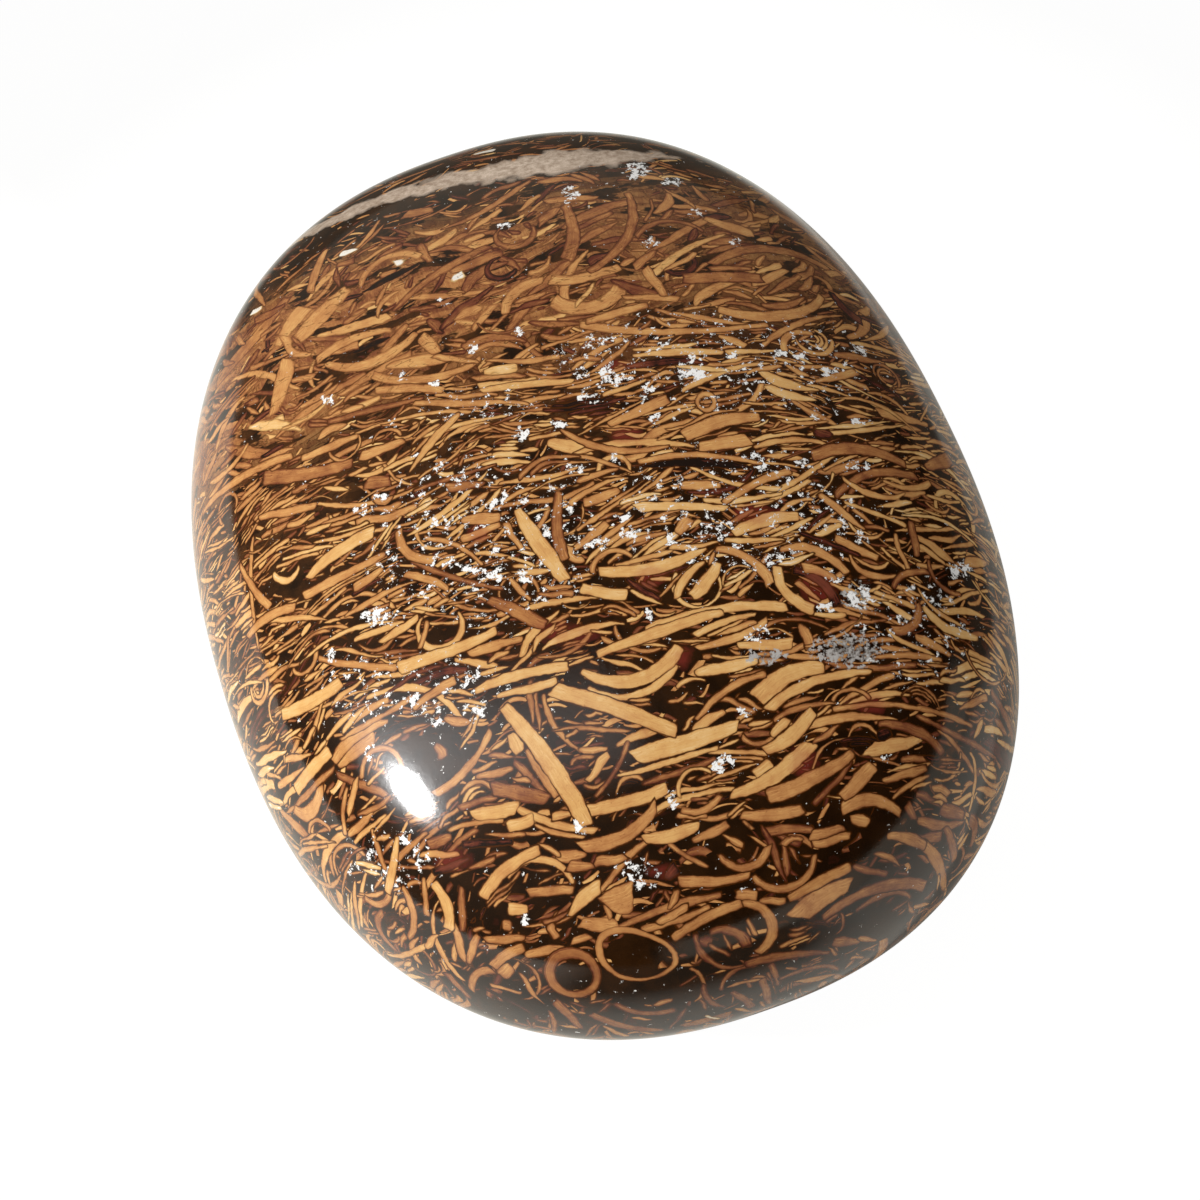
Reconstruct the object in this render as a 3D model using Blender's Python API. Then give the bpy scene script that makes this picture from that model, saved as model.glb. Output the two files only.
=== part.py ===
"""A palm stone: one flattened pebble, ground and polished from dark stone full of golden fossil slivers.

Metres, +Z up. The long axis lies along Y and the width along X. The stone rests on a small flat
spot, and the origin is at the middle of the bottom of its box.
"""

import bmesh
import bpy
from mathutils import Vector

# Driving dimensions, in metres
HALF_LENGTH = 0.0330
HALF_WIDTH = 0.02485
CROWN_HEIGHT = 0.0151
BELLY_DEPTH = 0.0106
REST_GRIND = 0.0002

# Form, as plain numbers: 2 is an ellipse, and more is fuller at the shoulders
PLAN_FULLNESS = 2.31
SECTION_FULLNESS = 2.34
TAPER = 0.021
BOW = 0.016

# Facets round the stone and from pole to pole
FACETS_ROUND = 80
FACETS_TALL = 40

# Polished stone, as it looks from a step away
STONE_COLOUR = (0.205, 0.105, 0.048, 1.0)
STONE_ROUGHNESS = 0.12


def clear_scene():
    """Removes whatever the scene holds."""
    for old in list(bpy.data.objects):
        bpy.data.objects.remove(old, do_unlink=True)


def pebble_point(ball):
    """The place on the stone's skin of a point on a ball of radius 1.

    The ball is stretched to the stone's half sizes, with a taller crown than belly, and pushed out
    along its radius until the plan is a superellipse and each upright section is another. The near
    end, at -Y, is then a little wider than the far end, and the long axis bows slightly to +X.
    """
    height = CROWN_HEIGHT if ball.z > 0 else BELLY_DEPTH
    plan = abs(ball.x) ** PLAN_FULLNESS + abs(ball.y) ** PLAN_FULLNESS
    section = plan ** (SECTION_FULLNESS / PLAN_FULLNESS) + abs(ball.z) ** SECTION_FULLNESS
    reach = section ** (-1 / SECTION_FULLNESS)
    along = ball.y * reach
    across = ball.x * reach * HALF_WIDTH * (1 - TAPER * along) + BOW * HALF_LENGTH * along ** 2
    return Vector((across, along * HALF_LENGTH, ball.z * reach * height + BELLY_DEPTH))


def ground_pebble():
    """The pebble as a closed mesh, with its bottom ground off flat at REST_GRIND."""
    mesh = bmesh.new()
    bmesh.ops.create_uvsphere(mesh, u_segments=FACETS_ROUND, v_segments=FACETS_TALL, radius=1)
    for vertex in mesh.verts:
        vertex.co = pebble_point(vertex.co.normalized())
    everything = mesh.verts[:] + mesh.edges[:] + mesh.faces[:]
    cut = bmesh.ops.bisect_plane(
        mesh, geom=everything, plane_co=(0, 0, REST_GRIND), plane_no=(0, 0, -1), clear_outer=True
    )
    rim = [item for item in cut["geom_cut"] if isinstance(item, bmesh.types.BMEdge)]
    bmesh.ops.edgeloop_fill(mesh, edges=rim)
    bmesh.ops.recalc_face_normals(mesh, faces=mesh.faces)
    return mesh


def stand_on_origin(mesh):
    """Moves the mesh so that the middle of the bottom of its box is at the origin."""
    lowest = Vector(min(vertex.co[axis] for vertex in mesh.verts) for axis in range(3))
    highest = Vector(max(vertex.co[axis] for vertex in mesh.verts) for axis in range(3))
    middle = (lowest + highest) / 2
    bmesh.ops.translate(mesh, verts=mesh.verts, vec=(-middle.x, -middle.y, -lowest.z))


def polished_stone():
    """The stone's overall colour and shine."""
    material = bpy.data.materials.new("polished_stone")
    material.use_nodes = True
    shader = material.node_tree.nodes["Principled BSDF"]
    shader.inputs["Base Color"].default_value = STONE_COLOUR
    shader.inputs["Roughness"].default_value = STONE_ROUGHNESS
    shader.inputs["Metallic"].default_value = 0.0
    return material


def palm_stone():
    """The whole object: one natural stone, one solid."""
    mesh = ground_pebble()
    stand_on_origin(mesh)
    data = bpy.data.meshes.new("palm_stone")
    mesh.to_mesh(data)
    mesh.free()
    data.materials.append(polished_stone())
    data.shade_smooth()
    data.set_sharp_from_angle(angle=0.6)
    stone = bpy.data.objects.new("palm_stone", data)
    bpy.context.scene.collection.objects.link(stone)
    return stone


clear_scene()
palm_stone()
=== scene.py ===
# %% [markdown]
# # A palm stone of fossil slivers
# The object is one natural stone: a sea floor of broken shell and plant slivers that turned to
# golden stone in a dark, iron-rich mud, later ground to a pebble that fills a palm and polished.
# The frame holds its solid form. This lesson dresses that form: first the skin as a fine mesh,
# then the slivers as marks on the skin, then the polish, the light and the view.

# %% Load the frame
import math

import bpy
import numpy as np
from mathutils import Matrix, Vector
from mathutils.kdtree import KDTree


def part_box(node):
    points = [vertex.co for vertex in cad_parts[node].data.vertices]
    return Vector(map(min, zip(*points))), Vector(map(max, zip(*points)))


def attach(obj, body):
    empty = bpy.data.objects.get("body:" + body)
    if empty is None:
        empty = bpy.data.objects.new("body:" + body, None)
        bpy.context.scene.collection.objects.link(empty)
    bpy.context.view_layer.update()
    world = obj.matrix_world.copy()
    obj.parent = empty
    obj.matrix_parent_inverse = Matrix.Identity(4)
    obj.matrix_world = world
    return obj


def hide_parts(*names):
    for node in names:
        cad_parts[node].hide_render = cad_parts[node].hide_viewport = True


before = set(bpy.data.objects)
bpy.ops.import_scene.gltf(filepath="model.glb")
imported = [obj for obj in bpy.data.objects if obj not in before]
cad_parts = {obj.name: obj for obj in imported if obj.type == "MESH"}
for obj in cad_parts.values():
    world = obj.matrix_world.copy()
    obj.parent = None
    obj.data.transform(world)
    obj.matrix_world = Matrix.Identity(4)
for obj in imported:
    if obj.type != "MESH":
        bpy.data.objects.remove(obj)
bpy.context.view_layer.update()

MM = 0.001
low, high = (np.array(corner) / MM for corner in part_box("palm_stone"))
print("stone in the frame, mm:", np.round(high - low, 2))

# %% [markdown]
# ## The form of the pebble
# A palm stone is cut as a flat oval and tumbled until no edge is left. Such a form could be
# sculpted, or a sphere could be scaled, but a scaled sphere is too pointed at its ends. A
# superellipse keeps the full shoulders that tumbling leaves. Its exponents are plain numbers:
# 2 is an ellipse, and more is fuller. The half sizes are read from the frame, so that the skin
# fits the solid that it stands for.

# %% The pebble as a formula
PLAN_FULLNESS = 2.31
SECTION_FULLNESS = 2.34
TAPER = 0.021
BOW = 0.016
CROWN_SHARE = 0.5875
REST_GRIND = 0.2
WIDTH_AT_MIDDLE = 0.99958

half_length = (high[1] - low[1]) / 2
half_width = (high[0] - low[0]) / 2 * WIDTH_AT_MIDDLE
full_height = high[2] - low[2] + REST_GRIND
crown_height = full_height * CROWN_SHARE
belly_depth = full_height - crown_height


def pebble(ball):
    """Points of the pebble, in mm, for points on a ball of radius 1.

    Each point is pushed out along its radius until the plan is a superellipse and the upright
    section is another, then stretched to the half sizes. The width shrinks a little towards the
    far end, and the long axis bows to one side by a share of the square of the place along it.
    """
    x, y, z = ball.T
    plan = np.abs(x) ** PLAN_FULLNESS + np.abs(y) ** PLAN_FULLNESS
    section = plan ** (SECTION_FULLNESS / PLAN_FULLNESS) + np.abs(z) ** SECTION_FULLNESS
    reach = section ** (-1 / SECTION_FULLNESS)
    along = y * reach
    across = x * reach * half_width * (1 - TAPER * along) + BOW * half_length * along ** 2
    height = np.where(z > 0, crown_height, belly_depth)
    return np.column_stack([across, along * half_length, z * reach * height + belly_depth])


print("crown and belly, mm:", round(crown_height, 2), round(belly_depth, 2))

# %% [markdown]
# ## An even mesh with no poles
# A globe's grid crowds at its poles, and the top of this stone is the first thing that is seen.
# So the grid starts as the skin of a box of cells, six flat sides that share their edges. The box
# is blown up to a ball by equal angles, and the ball is pressed into the pebble. Over most of the
# stone a cell is about 0.3 mm wide, and at the bluntest corners up to twice that.

# %% The skin of a box of cells
CELLS = (140, 188, 68)


def box_skin(cells):
    """Whole-number points on the six sides of a box of cells, each once, and the quads on them.

    Each side is a grid over the two axes that follow its own. A far side keeps the grid's
    order, and a near side turns it round, so that every quad faces outwards.
    """
    points, quads, count = [], [], 0
    for axis in range(3):
        across, up = (axis + 1) % 3, (axis + 2) % 3
        grid = np.mgrid[0:cells[across] + 1, 0:cells[up] + 1]
        order = np.arange(grid[0].size).reshape(grid[0].shape)
        loops = np.stack([order[:-1, :-1], order[1:, :-1], order[1:, 1:], order[:-1, 1:]], -1)
        loops = loops.reshape(-1, 4)
        for place in (0, cells[axis]):
            side = np.zeros((grid[0].size, 3), int)
            side[:, axis] = place
            side[:, across] = grid[0].ravel()
            side[:, up] = grid[1].ravel()
            points.append(side)
            quads.append(count + (loops if place else loops[:, ::-1]))
            count += len(side)
    points, where = np.unique(np.concatenate(points), axis=0, return_inverse=True)
    return points, where.reshape(-1)[np.concatenate(quads)]


lattice, quads = box_skin(CELLS)
print("points:", len(lattice), "quads:", len(quads))

# %% [markdown]
# ## From box to pebble
# Equal steps along the box become equal angles at its middle, which keeps the cells alike from
# the middle of a side to its corner. The stone rests on a flat spot that is ground off at the
# bottom, so points below it are lifted to it, and the whole is centred on the origin.

# %% Blow the box up and press it into shape
angles = (lattice / np.array(CELLS) - 0.5) * math.pi / 2
ball = np.tan(angles)
ball /= np.linalg.norm(ball, axis=1, keepdims=True)
skin = pebble(ball)
skin[:, 2] = np.maximum(skin[:, 2], REST_GRIND) - REST_GRIND
middle = (skin.max(0) + skin.min(0)) / 2
skin[:, :2] -= middle[:2]

corners = skin[quads]
centres = corners.mean(1)
normals = np.cross(corners[:, 2] - corners[:, 0], corners[:, 3] - corners[:, 1])
cell_areas = np.linalg.norm(normals, axis=1) / 2
normals /= np.linalg.norm(normals, axis=1, keepdims=True)
print("skin, mm:", np.round(skin.max(0) - skin.min(0), 2), "area, square mm:", round(cell_areas.sum()))

# %% [markdown]
# ## The photograph's camera
# The stone lies with its long axis pointing at the viewer, who looks down on it from above its
# near end. A long lens from a quarter of a metre fits its outline. The view is set by the way the
# camera looks, its roll, its distance and the length of its lens. The same numbers turn a place
# in the picture into a place on the skin, which is how the large markings find theirs.

# %% The camera's axes and place
FRAME_PIXELS = 1200
AZIMUTH, ELEVATION, ROLL = -6.89, 57.41, -13.22
DISTANCE = 240.6
AIM_HEIGHT = 6.6
LENS, SENSOR = 110.364, 36.0
PICTURE_MIDDLE = (598.5, 601.1)


def view_axes(azimuth, elevation, roll):
    """Right, up and back of a camera, as rows: back points from the aim to the camera."""
    a, e, r = (math.radians(angle) for angle in (azimuth, elevation, roll))
    back = np.array([math.sin(a) * math.cos(e), -math.cos(a) * math.cos(e), math.sin(e)])
    level = np.array([math.cos(a), math.sin(a), 0.0])
    upright = np.cross(back, level)
    right = math.cos(r) * level + math.sin(r) * upright
    up = math.cos(r) * upright - math.sin(r) * level
    return np.array([right, up, back])


axes = view_axes(AZIMUTH, ELEVATION, ROLL)
focal_pixels = LENS / SENSOR * FRAME_PIXELS
aim = np.array([-middle[0], -middle[1], AIM_HEIGHT - REST_GRIND])
slide = (FRAME_PIXELS / 2 - np.array(PICTURE_MIDDLE)) * (1, -1) * DISTANCE / focal_pixels
eye = aim + axes[2] * DISTANCE + axes[0] * slide[0] + axes[1] * slide[1]
PIXEL = DISTANCE / focal_pixels
print("camera at, mm:", np.round(eye, 1), "- one pixel is about, mm:", round(PIXEL, 4))

# %% [markdown]
# ## From skin to picture and back
# A point's pixel is its sideways and upward part over its depth. The way back starts from the
# cell whose middle lies nearest to the pixel, and meets the camera's ray with the plane of that
# cell, so the answer is a place on the stone and not on the picture.

# %% The two ways between skin and picture
facing = ((eye - centres) * normals).sum(1) > 0
seen_cells = np.flatnonzero(facing)


def in_picture(points):
    """The pixel of each point: its sideways and upward parts over its depth, times the focal length."""
    seen = (points - eye) @ axes.T
    return FRAME_PIXELS / 2 + focal_pixels * seen[..., :2] * (1, -1) / -seen[..., 2:]


seen_pixels = in_picture(centres[seen_cells])


def on_skin(pixel):
    """Where the camera's ray through a pixel meets the plane of the cell that it hits."""
    cell = seen_cells[((seen_pixels - pixel) ** 2).sum(1).argmin()]
    offset = (np.array(pixel) - FRAME_PIXELS / 2) / focal_pixels * (1, -1)
    ray = axes[0] * offset[0] + axes[1] * offset[1] - axes[2]
    depth = ((centres[cell] - eye) @ normals[cell]) / (ray @ normals[cell])
    return eye + ray * depth, normals[cell]


outline = in_picture(skin)
print("outline in the picture:", np.round(outline.min(0), 1), np.round(outline.max(0), 1))

# %% [markdown]
# ## Beds in the stone
# The slivers settled flat on the sea floor, bed on bed, and the stone was cut across the beds.
# The beds stand across the long axis. On top they show edge-on, as lines that cross the stone
# and run down its sides, and at the two ends they show face-on, as blobs and rings. So the
# direction of a marking is not drawn by hand: it is where its bed meets the skin.

# %% Bed height of every cell, and a smooth wandering number
BED_NORMAL = np.array([0.088, 1.0, 0.078])
BED_NORMAL /= np.linalg.norm(BED_NORMAL)

stone_middle = np.array([0.0, 0.0, full_height / 2])
beds = (centres - stone_middle) @ BED_NORMAL
tree = KDTree(len(centres))
for number, centre in enumerate(centres):
    tree.insert(centre, number)
tree.balance()


def unit(vector):
    """The vector over its own length."""
    return vector / (np.linalg.norm(vector) + 1e-12)


def wander(points, size, seed):
    """A smooth wavy number from about -1 to 1: the mean of six sine waves in random directions.

    Each wave is the sine of the point's part along a random direction, over a length near size.
    """
    draw = np.random.default_rng(seed)
    directions = draw.normal(size=(6, 3))
    directions /= np.linalg.norm(directions, axis=1, keepdims=True) * size / 2 / math.pi
    directions *= draw.uniform(0.7, 1.4, (6, 1))
    starts = draw.uniform(0, 2 * math.pi, 6)
    return np.sin(points @ directions.T + starts).sum(-1) / 2.4


print("beds run from", np.round(beds.min(), 1), "to", np.round(beds.max(), 1), "mm")

# %% [markdown]
# ## A sliver in its own coordinates
# A sliver could be painted into an image, but an image blurs when the camera comes close. Here
# each one carries its own ruler. Around it the skin knows three lengths: how far it is to the
# side of the sliver's middle line, how wide the sliver is there, and how far it is past the
# nearest end. The material compares them, so that the edge stays sharp at any distance.

# %% The rulers of a ring and of a sliver
def ring_ruler(mark, points):
    """Side distance, half width and end distance for a closed ring.

    The middle line's radius is a mean radius, swelled three times and twice round by cosines of
    the angle. Its side distance is the place's own radius less that. A ring has no end, and its
    wall is thicker on one side, by a cosine of the angle.
    """
    local = (points - mark["at"]) @ mark["axes"][:2].T
    x, y = local[..., 0], local[..., 1] / mark["squash"]
    angle = np.arctan2(y, x) - mark["turn"]
    swell = mark["point"] * np.cos(3 * angle) + mark["egg"] * np.cos(2 * angle)
    side = np.hypot(x, y) - mark["radius"] * (1 + swell)
    half = mark["half"] * (1 + mark["uneven"] * np.cos(angle))
    return side, half, np.full_like(side, -1.0)


def sliver_ruler(mark, points):
    """Side distance, half width and end distance for an open sliver.

    The middle line is an arc. With bend k, a place at x along and y across is at the arc length
    atan(kx / (1 - ky)) / k, and its side distance is (1 - hypot(kx, 1 - ky)) / k. A sine of the
    arc length sways the line, and the half width leans to one end and is pinched at both.
    """
    local = (points - mark["at"]) @ mark["axes"][:2].T
    x, y, k = local[..., 0], local[..., 1], mark["bend"]
    along = np.arctan2(k * x, 1 - k * y) / k
    side = (1 - np.hypot(k * x, 1 - k * y)) / k
    share = (along - mark["start"]) / (mark["end"] - mark["start"]) * 2 - 1
    side = side - mark["sway"] * np.sin(3.4 * share + mark["turn"])
    inside = np.clip(share, -1.1, 1.1)
    half = mark["half"] * (1 + mark["lean"] * inside) * (1 - mark["pinch"] * inside ** 2)
    past = np.maximum(along - mark["end"], mark["start"] - along) + mark["slant"] * side
    return side, np.maximum(half, 0.02), past


print("rulers: ring and sliver")

# %% [markdown]
# ## The record of a mark
# A mark is a small dictionary: where it lies, its own axes in the plane of the skin, its bend and
# its two ends as arc lengths, its half width, and its tone. Tone is one number on a scale from
# black through red-brown and gold to white, which the material turns into a colour.

# %% Tones, axes and the sliver's record
BLACK, RED, BROWN, OCHRE, GOLD, TAN, WHITE = 0.0, 0.14, 0.40, 0.56, 0.71, 0.77, 1.0


def frame_at(point, normal, heading):
    """Rows along, across and out: heading laid into the skin, its left side, and the normal."""
    along = unit(heading - normal * (heading @ normal))
    return np.array([along, np.cross(normal, along), normal])


def sliver(at, axes, bend, start, end, half, tone, **more):
    """One sliver's record, with the plain form for what isn't said."""
    plain = {"sway": 0.0, "lean": 0.0, "pinch": 0.15, "slant": 0.0, "turn": 0.0}
    bend = math.copysign(max(abs(bend), 1e-3), bend)
    shape = {"at": at, "axes": axes, "bend": bend, "start": start, "end": end, "half": half}
    reach = max(-start, end) + half + 0.6
    return {**plain, **shape, "tone": tone, **more, "ruler": sliver_ruler, "reach": reach}


print("tones from", BLACK, "to", WHITE)

# %% [markdown]
# ## Seven sheets of marks
# Slivers lie so close that their rulers would get mixed up if the skin held only one. So there
# are several sheets, like layers of tracing film, and each sliver goes on the first sheet that
# has room for it. Every corner of every cell keeps its own ruler, which lets the rulers of two
# neighbours change over at a cell's edge, in the bare stone between them. The first sheet is the
# topmost, so what is placed early lies over what is placed late.

# %% Sheets of marks on the cells
SHEETS = 7
CLEARANCE = 0.34
EDGE_BELONGS = 0.05
SAME_SIDE = 0.15
FAR = 9.0

rulers = np.zeros((SHEETS, len(quads), 4, 4), np.float32)
rulers[..., 0] = FAR
rulers[..., 2] = FAR
nearest = np.full((SHEETS, len(quads)), FAR, np.float32)
busy = np.zeros((SHEETS, len(quads)), bool)
covered = np.zeros(len(quads), bool)
placed = []


def cells_near(mark):
    """The cells within a mark's reach, on its own side of the stone."""
    found = np.array([number for _, number, _ in tree.find_range(mark["at"], mark["reach"])], int)
    if not len(found):
        return found
    return found[normals[found] @ mark["axes"][2] > SAME_SIDE]


def distance(side, half, past):
    """How far outside a mark a place is: past its side or past its end, whichever is more."""
    return np.maximum(np.abs(side) - half, past)


def place(mark, overlap=0.2):
    """Puts a mark on the first sheet with room for it, if it doesn't lie too far over others."""
    cells = cells_near(mark)
    if not len(cells):
        return False
    away = distance(*mark["ruler"](mark, centres[cells]))
    within = cells[away < EDGE_BELONGS]
    if len(within) and covered[within].mean() > overlap:
        return False
    close = cells[away < CLEARANCE]
    free = np.flatnonzero(~busy[:, close].any(1))
    if not len(free):
        return False
    sheet, wide = free[0], away < CLEARANCE * 2
    better = cells[wide][away[wide] < nearest[sheet, cells[wide]]]
    side, half, past = mark["ruler"](mark, corners[better])
    rulers[sheet, better] = np.stack([side, half, past, np.full_like(side, mark["tone"])], -1)
    nearest[sheet, cells[wide]] = np.minimum(nearest[sheet, cells[wide]], away[wide])
    busy[sheet, close] = True
    covered[within] = True
    placed.append(mark)
    return True


print("sheets:", SHEETS, "- numbers kept on each:", rulers[0].size)

# %% [markdown]
# ## Slivers and rings that the picture shows
# The eye knows a stone by its largest marks, so those are placed one by one: three points of the
# middle line in the picture, from end to end, and the width there. Small random leans and pinches
# keep their ends from looking alike.

# %% A sliver through three points, and a ring round one
hand = np.random.default_rng(7)


def arc_length(axes_here, bend, offset):
    """The arc length of a point, by the same rule as in the ruler."""
    x, y = axes_here[:2] @ offset
    return math.atan2(bend * x, 1 - bend * y) / bend


def drawn_sliver(first, halfway, last, pixels_wide, tone, pinch):
    """A sliver along the circle through three points of the picture.

    In the plane of the skin at the halfway point, the circle through it and through two points a
    and b has a centre c with a.c = a.a / 2 and b.c = b.b / 2. Its bend is one over its radius.
    """
    at, normal = on_skin(halfway)
    ends = [on_skin(pixel)[0] - at for pixel in (first, last)]
    flat = frame_at(at, normal, ends[1] - ends[0])
    a, b = (flat[:2] @ end for end in ends)
    matrix = np.array([a, b])
    bend, heading = 1e-3, flat[0]
    if abs(np.linalg.det(matrix)) > 0.02 * np.linalg.norm(a) * np.linalg.norm(b):
        centre = np.linalg.solve(matrix, [a @ a / 2, b @ b / 2])
        turn = math.copysign(1.0, centre[1])
        bend = turn / np.linalg.norm(centre)
        heading = flat[0] * centre[1] * turn - flat[1] * centre[0] * turn
    axes_here = frame_at(at, normal, heading)
    start, end = sorted(arc_length(axes_here, bend, offset) for offset in ends)
    return sliver(
        at, axes_here, bend, start, end, pixels_wide * PIXEL / 2, tone, pinch=pinch,
        lean=hand.uniform(-0.3, 0.3), slant=hand.normal(0, 0.35),
        sway=hand.normal(0, 0.03), turn=hand.uniform(0, 6.3),
    )


def drawn_ring(pixel, radii, tilt, wall, tone, turn, point=0.0, egg=0.0, uneven=0.25):
    """A ring round a pixel: radii are the picture's half width and half height of its middle line.

    Tilt turns it in the picture, in degrees down to the right.
    """
    at, normal = on_skin(pixel)
    slope = math.radians(-tilt)
    flat = frame_at(at, normal, axes[0] * math.cos(slope) + axes[1] * math.sin(slope))
    upright = axes[1] * math.cos(slope) - axes[0] * math.sin(slope)
    level, tall = radii[0] * PIXEL, radii[1] * PIXEL / max(abs(flat[1] @ upright), 0.3)
    return {
        "at": at, "axes": flat, "squash": tall / level, "radius": level, "half": wall * PIXEL / 2,
        "point": point, "egg": egg, "uneven": uneven, "turn": turn, "tone": tone,
        "ruler": ring_ruler, "reach": max(level, tall) * 1.1 + 1.0,
    }


print("one pixel of wall, mm:", round(PIXEL, 3))

# %% [markdown]
# ## Rings in view
# At the near end the beds lie face-on, and two round shells show there as whole rings. The small
# one has a thick wall. The large one is an oval that comes to a slight point. Inside them there is
# only dark stone, so their insides are marked as bare, and nothing is thrown there. Other dark
# places in the picture are kept bare in the same way. Two tiny rings lie further up.

# %% The rings and the bare places
RINGS = (
    {"pixel": (573, 975), "radii": (22, 20), "tilt": 0, "wall": 8.6, "tone": 0.44, "turn": 2.6},
    {
        "pixel": (636, 956), "radii": (35, 22), "tilt": 17, "wall": 6.2, "tone": OCHRE,
        "turn": 2.5, "point": 0.05,
    },
    {"pixel": (706, 402), "radii": (8, 8), "tilt": 0, "wall": 4.0, "tone": OCHRE, "turn": 1.0},
    {"pixel": (507, 926), "radii": (4, 4), "tilt": 0, "wall": 3.0, "tone": OCHRE, "turn": 1.0},
)
BARE_BOXES = (
    (602, 934, 670, 978), (554, 958, 592, 992), (585, 976, 700, 1004), (470, 1000, 560, 1020),
    (866, 800, 906, 842), (846, 836, 880, 862), (842, 912, 912, 938), (700, 840, 745, 870),
    (380, 724, 476, 806), (652, 686, 676, 716), (806, 812, 840, 826), (560, 665, 582, 690),
    (230, 426, 274, 452), (290, 428, 330, 454), (268, 568, 310, 600), (730, 676, 764, 694),
    (300, 224, 344, 246), (360, 196, 420, 214), (590, 180, 660, 204), (636, 742, 676, 754),
)


def box_share(pixels, box):
    """From 1 at the middle of a box in the picture to 0 on the ellipse that fills it, and below."""
    x0, y0, x1, y1 = box
    x, y = (pixels - ((x0 + x1) / 2, (y0 + y1) / 2)).T
    return 1 - np.hypot(x / ((x1 - x0) / 2), y / ((y1 - y0) / 2))


for ring in RINGS:
    print("ring placed:", place(drawn_ring(**ring), overlap=1.0))

# %% [markdown]
# ## Slivers in the middle, towards the viewer
# The boldest slivers lie just below the middle of the picture: long straight rims of shells, up
# to eleven millimetres long, cut lengthwise. They give the stone its look of written strokes.

# %% Slivers in the middle, towards the viewer
NEAR_MIDDLE_SLIVERS = [
    ((503, 706), (548, 760), (587, 825), 16, GOLD), ((553, 689), (614, 708), (676, 731), 15, GOLD),
    ((634, 757), (687, 742), (738, 726), 17, TAN), ((581, 671), (619, 682), (679, 647), 13, GOLD),
    ((588, 688), (623, 697), (675, 664), 7, GOLD), ((597, 655), (649, 635), (722, 612), 11, GOLD),
    ((646, 629), (705, 611), (787, 607), 8, GOLD), ((694, 636), (730, 620), (757, 614), 7, GOLD),
    ((517, 509), (540, 545), (566, 581), 16, GOLD), ((475, 691), (519, 675), (568, 666), 10, GOLD),
    ((497, 696), (527, 689), (557, 680), 8, GOLD), ((488, 599), (517, 612), (546, 625), 13, BROWN),
    ((581, 588), (604, 593), (627, 595), 11, GOLD), ((434, 794), (471, 764), (490, 730), 7, OCHRE),
    ((511, 734), (516, 744), (519, 754), 13, GOLD), ((525, 749), (541, 772), (558, 796), 8, OCHRE),
    ((543, 695), (556, 728), (582, 752), 5, OCHRE), ((677, 688), (688, 680), (706, 680), 4, GOLD),
    ((696, 720), (727, 690), (766, 674), 6, OCHRE), ((696, 673), (727, 667), (758, 660), 11, TAN),
    ((738, 646), (765, 645), (792, 643), 10, GOLD), ((587, 781), (598, 767), (609, 754), 8, GOLD),
    ((595, 798), (618, 766), (628, 741), 4, BROWN), ((618, 776), (668, 762), (718, 748), 5, TAN),
    ((642, 784), (680, 772), (716, 759), 6, BROWN),
]
print("slivers read:", len(NEAR_MIDDLE_SLIVERS))

# %% [markdown]
# ## Slivers on the left
# On the left the beds run down the flank. Strokes there slope down to the left, with one small
# hook and some broken pieces between them.

# %% Slivers on the left
LEFT_SLIVERS = [
    ((400, 668), (452, 650), (496, 631), 11, GOLD), ((380, 642), (400, 630), (419, 616), 8, GOLD),
    ((259, 519), (288, 511), (317, 506), 9, OCHRE), ((301, 459), (330, 447), (357, 436), 9, OCHRE),
    ((376, 391), (419, 388), (444, 391), 9, OCHRE), ((480, 391), (531, 384), (573, 381), 9, GOLD),
    ((360, 456), (382, 449), (405, 440), 10, OCHRE), ((202, 515), (245, 475), (292, 456), 9, OCHRE),
    ((309, 578), (335, 553), (374, 532), 13, GOLD), ((304, 596), (346, 574), (385, 554), 9, OCHRE),
    ((354, 589), (369, 578), (383, 568), 9, OCHRE), ((247, 638), (267, 618), (295, 607), 10, OCHRE),
    ((240, 564), (253, 588), (270, 607), 7, OCHRE), ((274, 573), (288, 580), (299, 566), 7, TAN),
    ((399, 529), (404, 548), (434, 560), 9, OCHRE), ((424, 537), (461, 548), (482, 565), 5, OCHRE),
    ((405, 574), (427, 579), (449, 590), 7, OCHRE), ((410, 560), (455, 578), (503, 589), 5, BROWN),
    ((461, 520), (480, 519), (500, 517), 12, OCHRE), ((462, 540), (481, 532), (500, 524), 8, OCHRE),
    ((505, 523), (514, 537), (522, 551), 6, OCHRE), ((559, 492), (557, 526), (564, 560), 10, BROWN),
    ((569, 546), (573, 558), (584, 560), 8, OCHRE), ((508, 576), (519, 589), (531, 600), 5, OCHRE),
    ((319, 659), (354, 665), (396, 668), 7, OCHRE), ((469, 652), (495, 646), (522, 638), 9, OCHRE),
    ((354, 640), (378, 631), (405, 621), 7, GOLD), ((427, 621), (424, 636), (419, 649), 5, OCHRE),
    ((413, 491), (455, 477), (497, 464), 5, BROWN), ((447, 488), (465, 486), (483, 484), 9, BROWN),
    ((365, 484), (378, 482), (391, 481), 14, BROWN), ((264, 478), (305, 474), (352, 463), 14, BROWN),
]
print("slivers read:", len(LEFT_SLIVERS))

# %% [markdown]
# ## Slivers near the left shoulder
# Round the highlight the slivers turn and fan out, because the skin bends away across the beds.
# Many stand upright in the picture.

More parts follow.
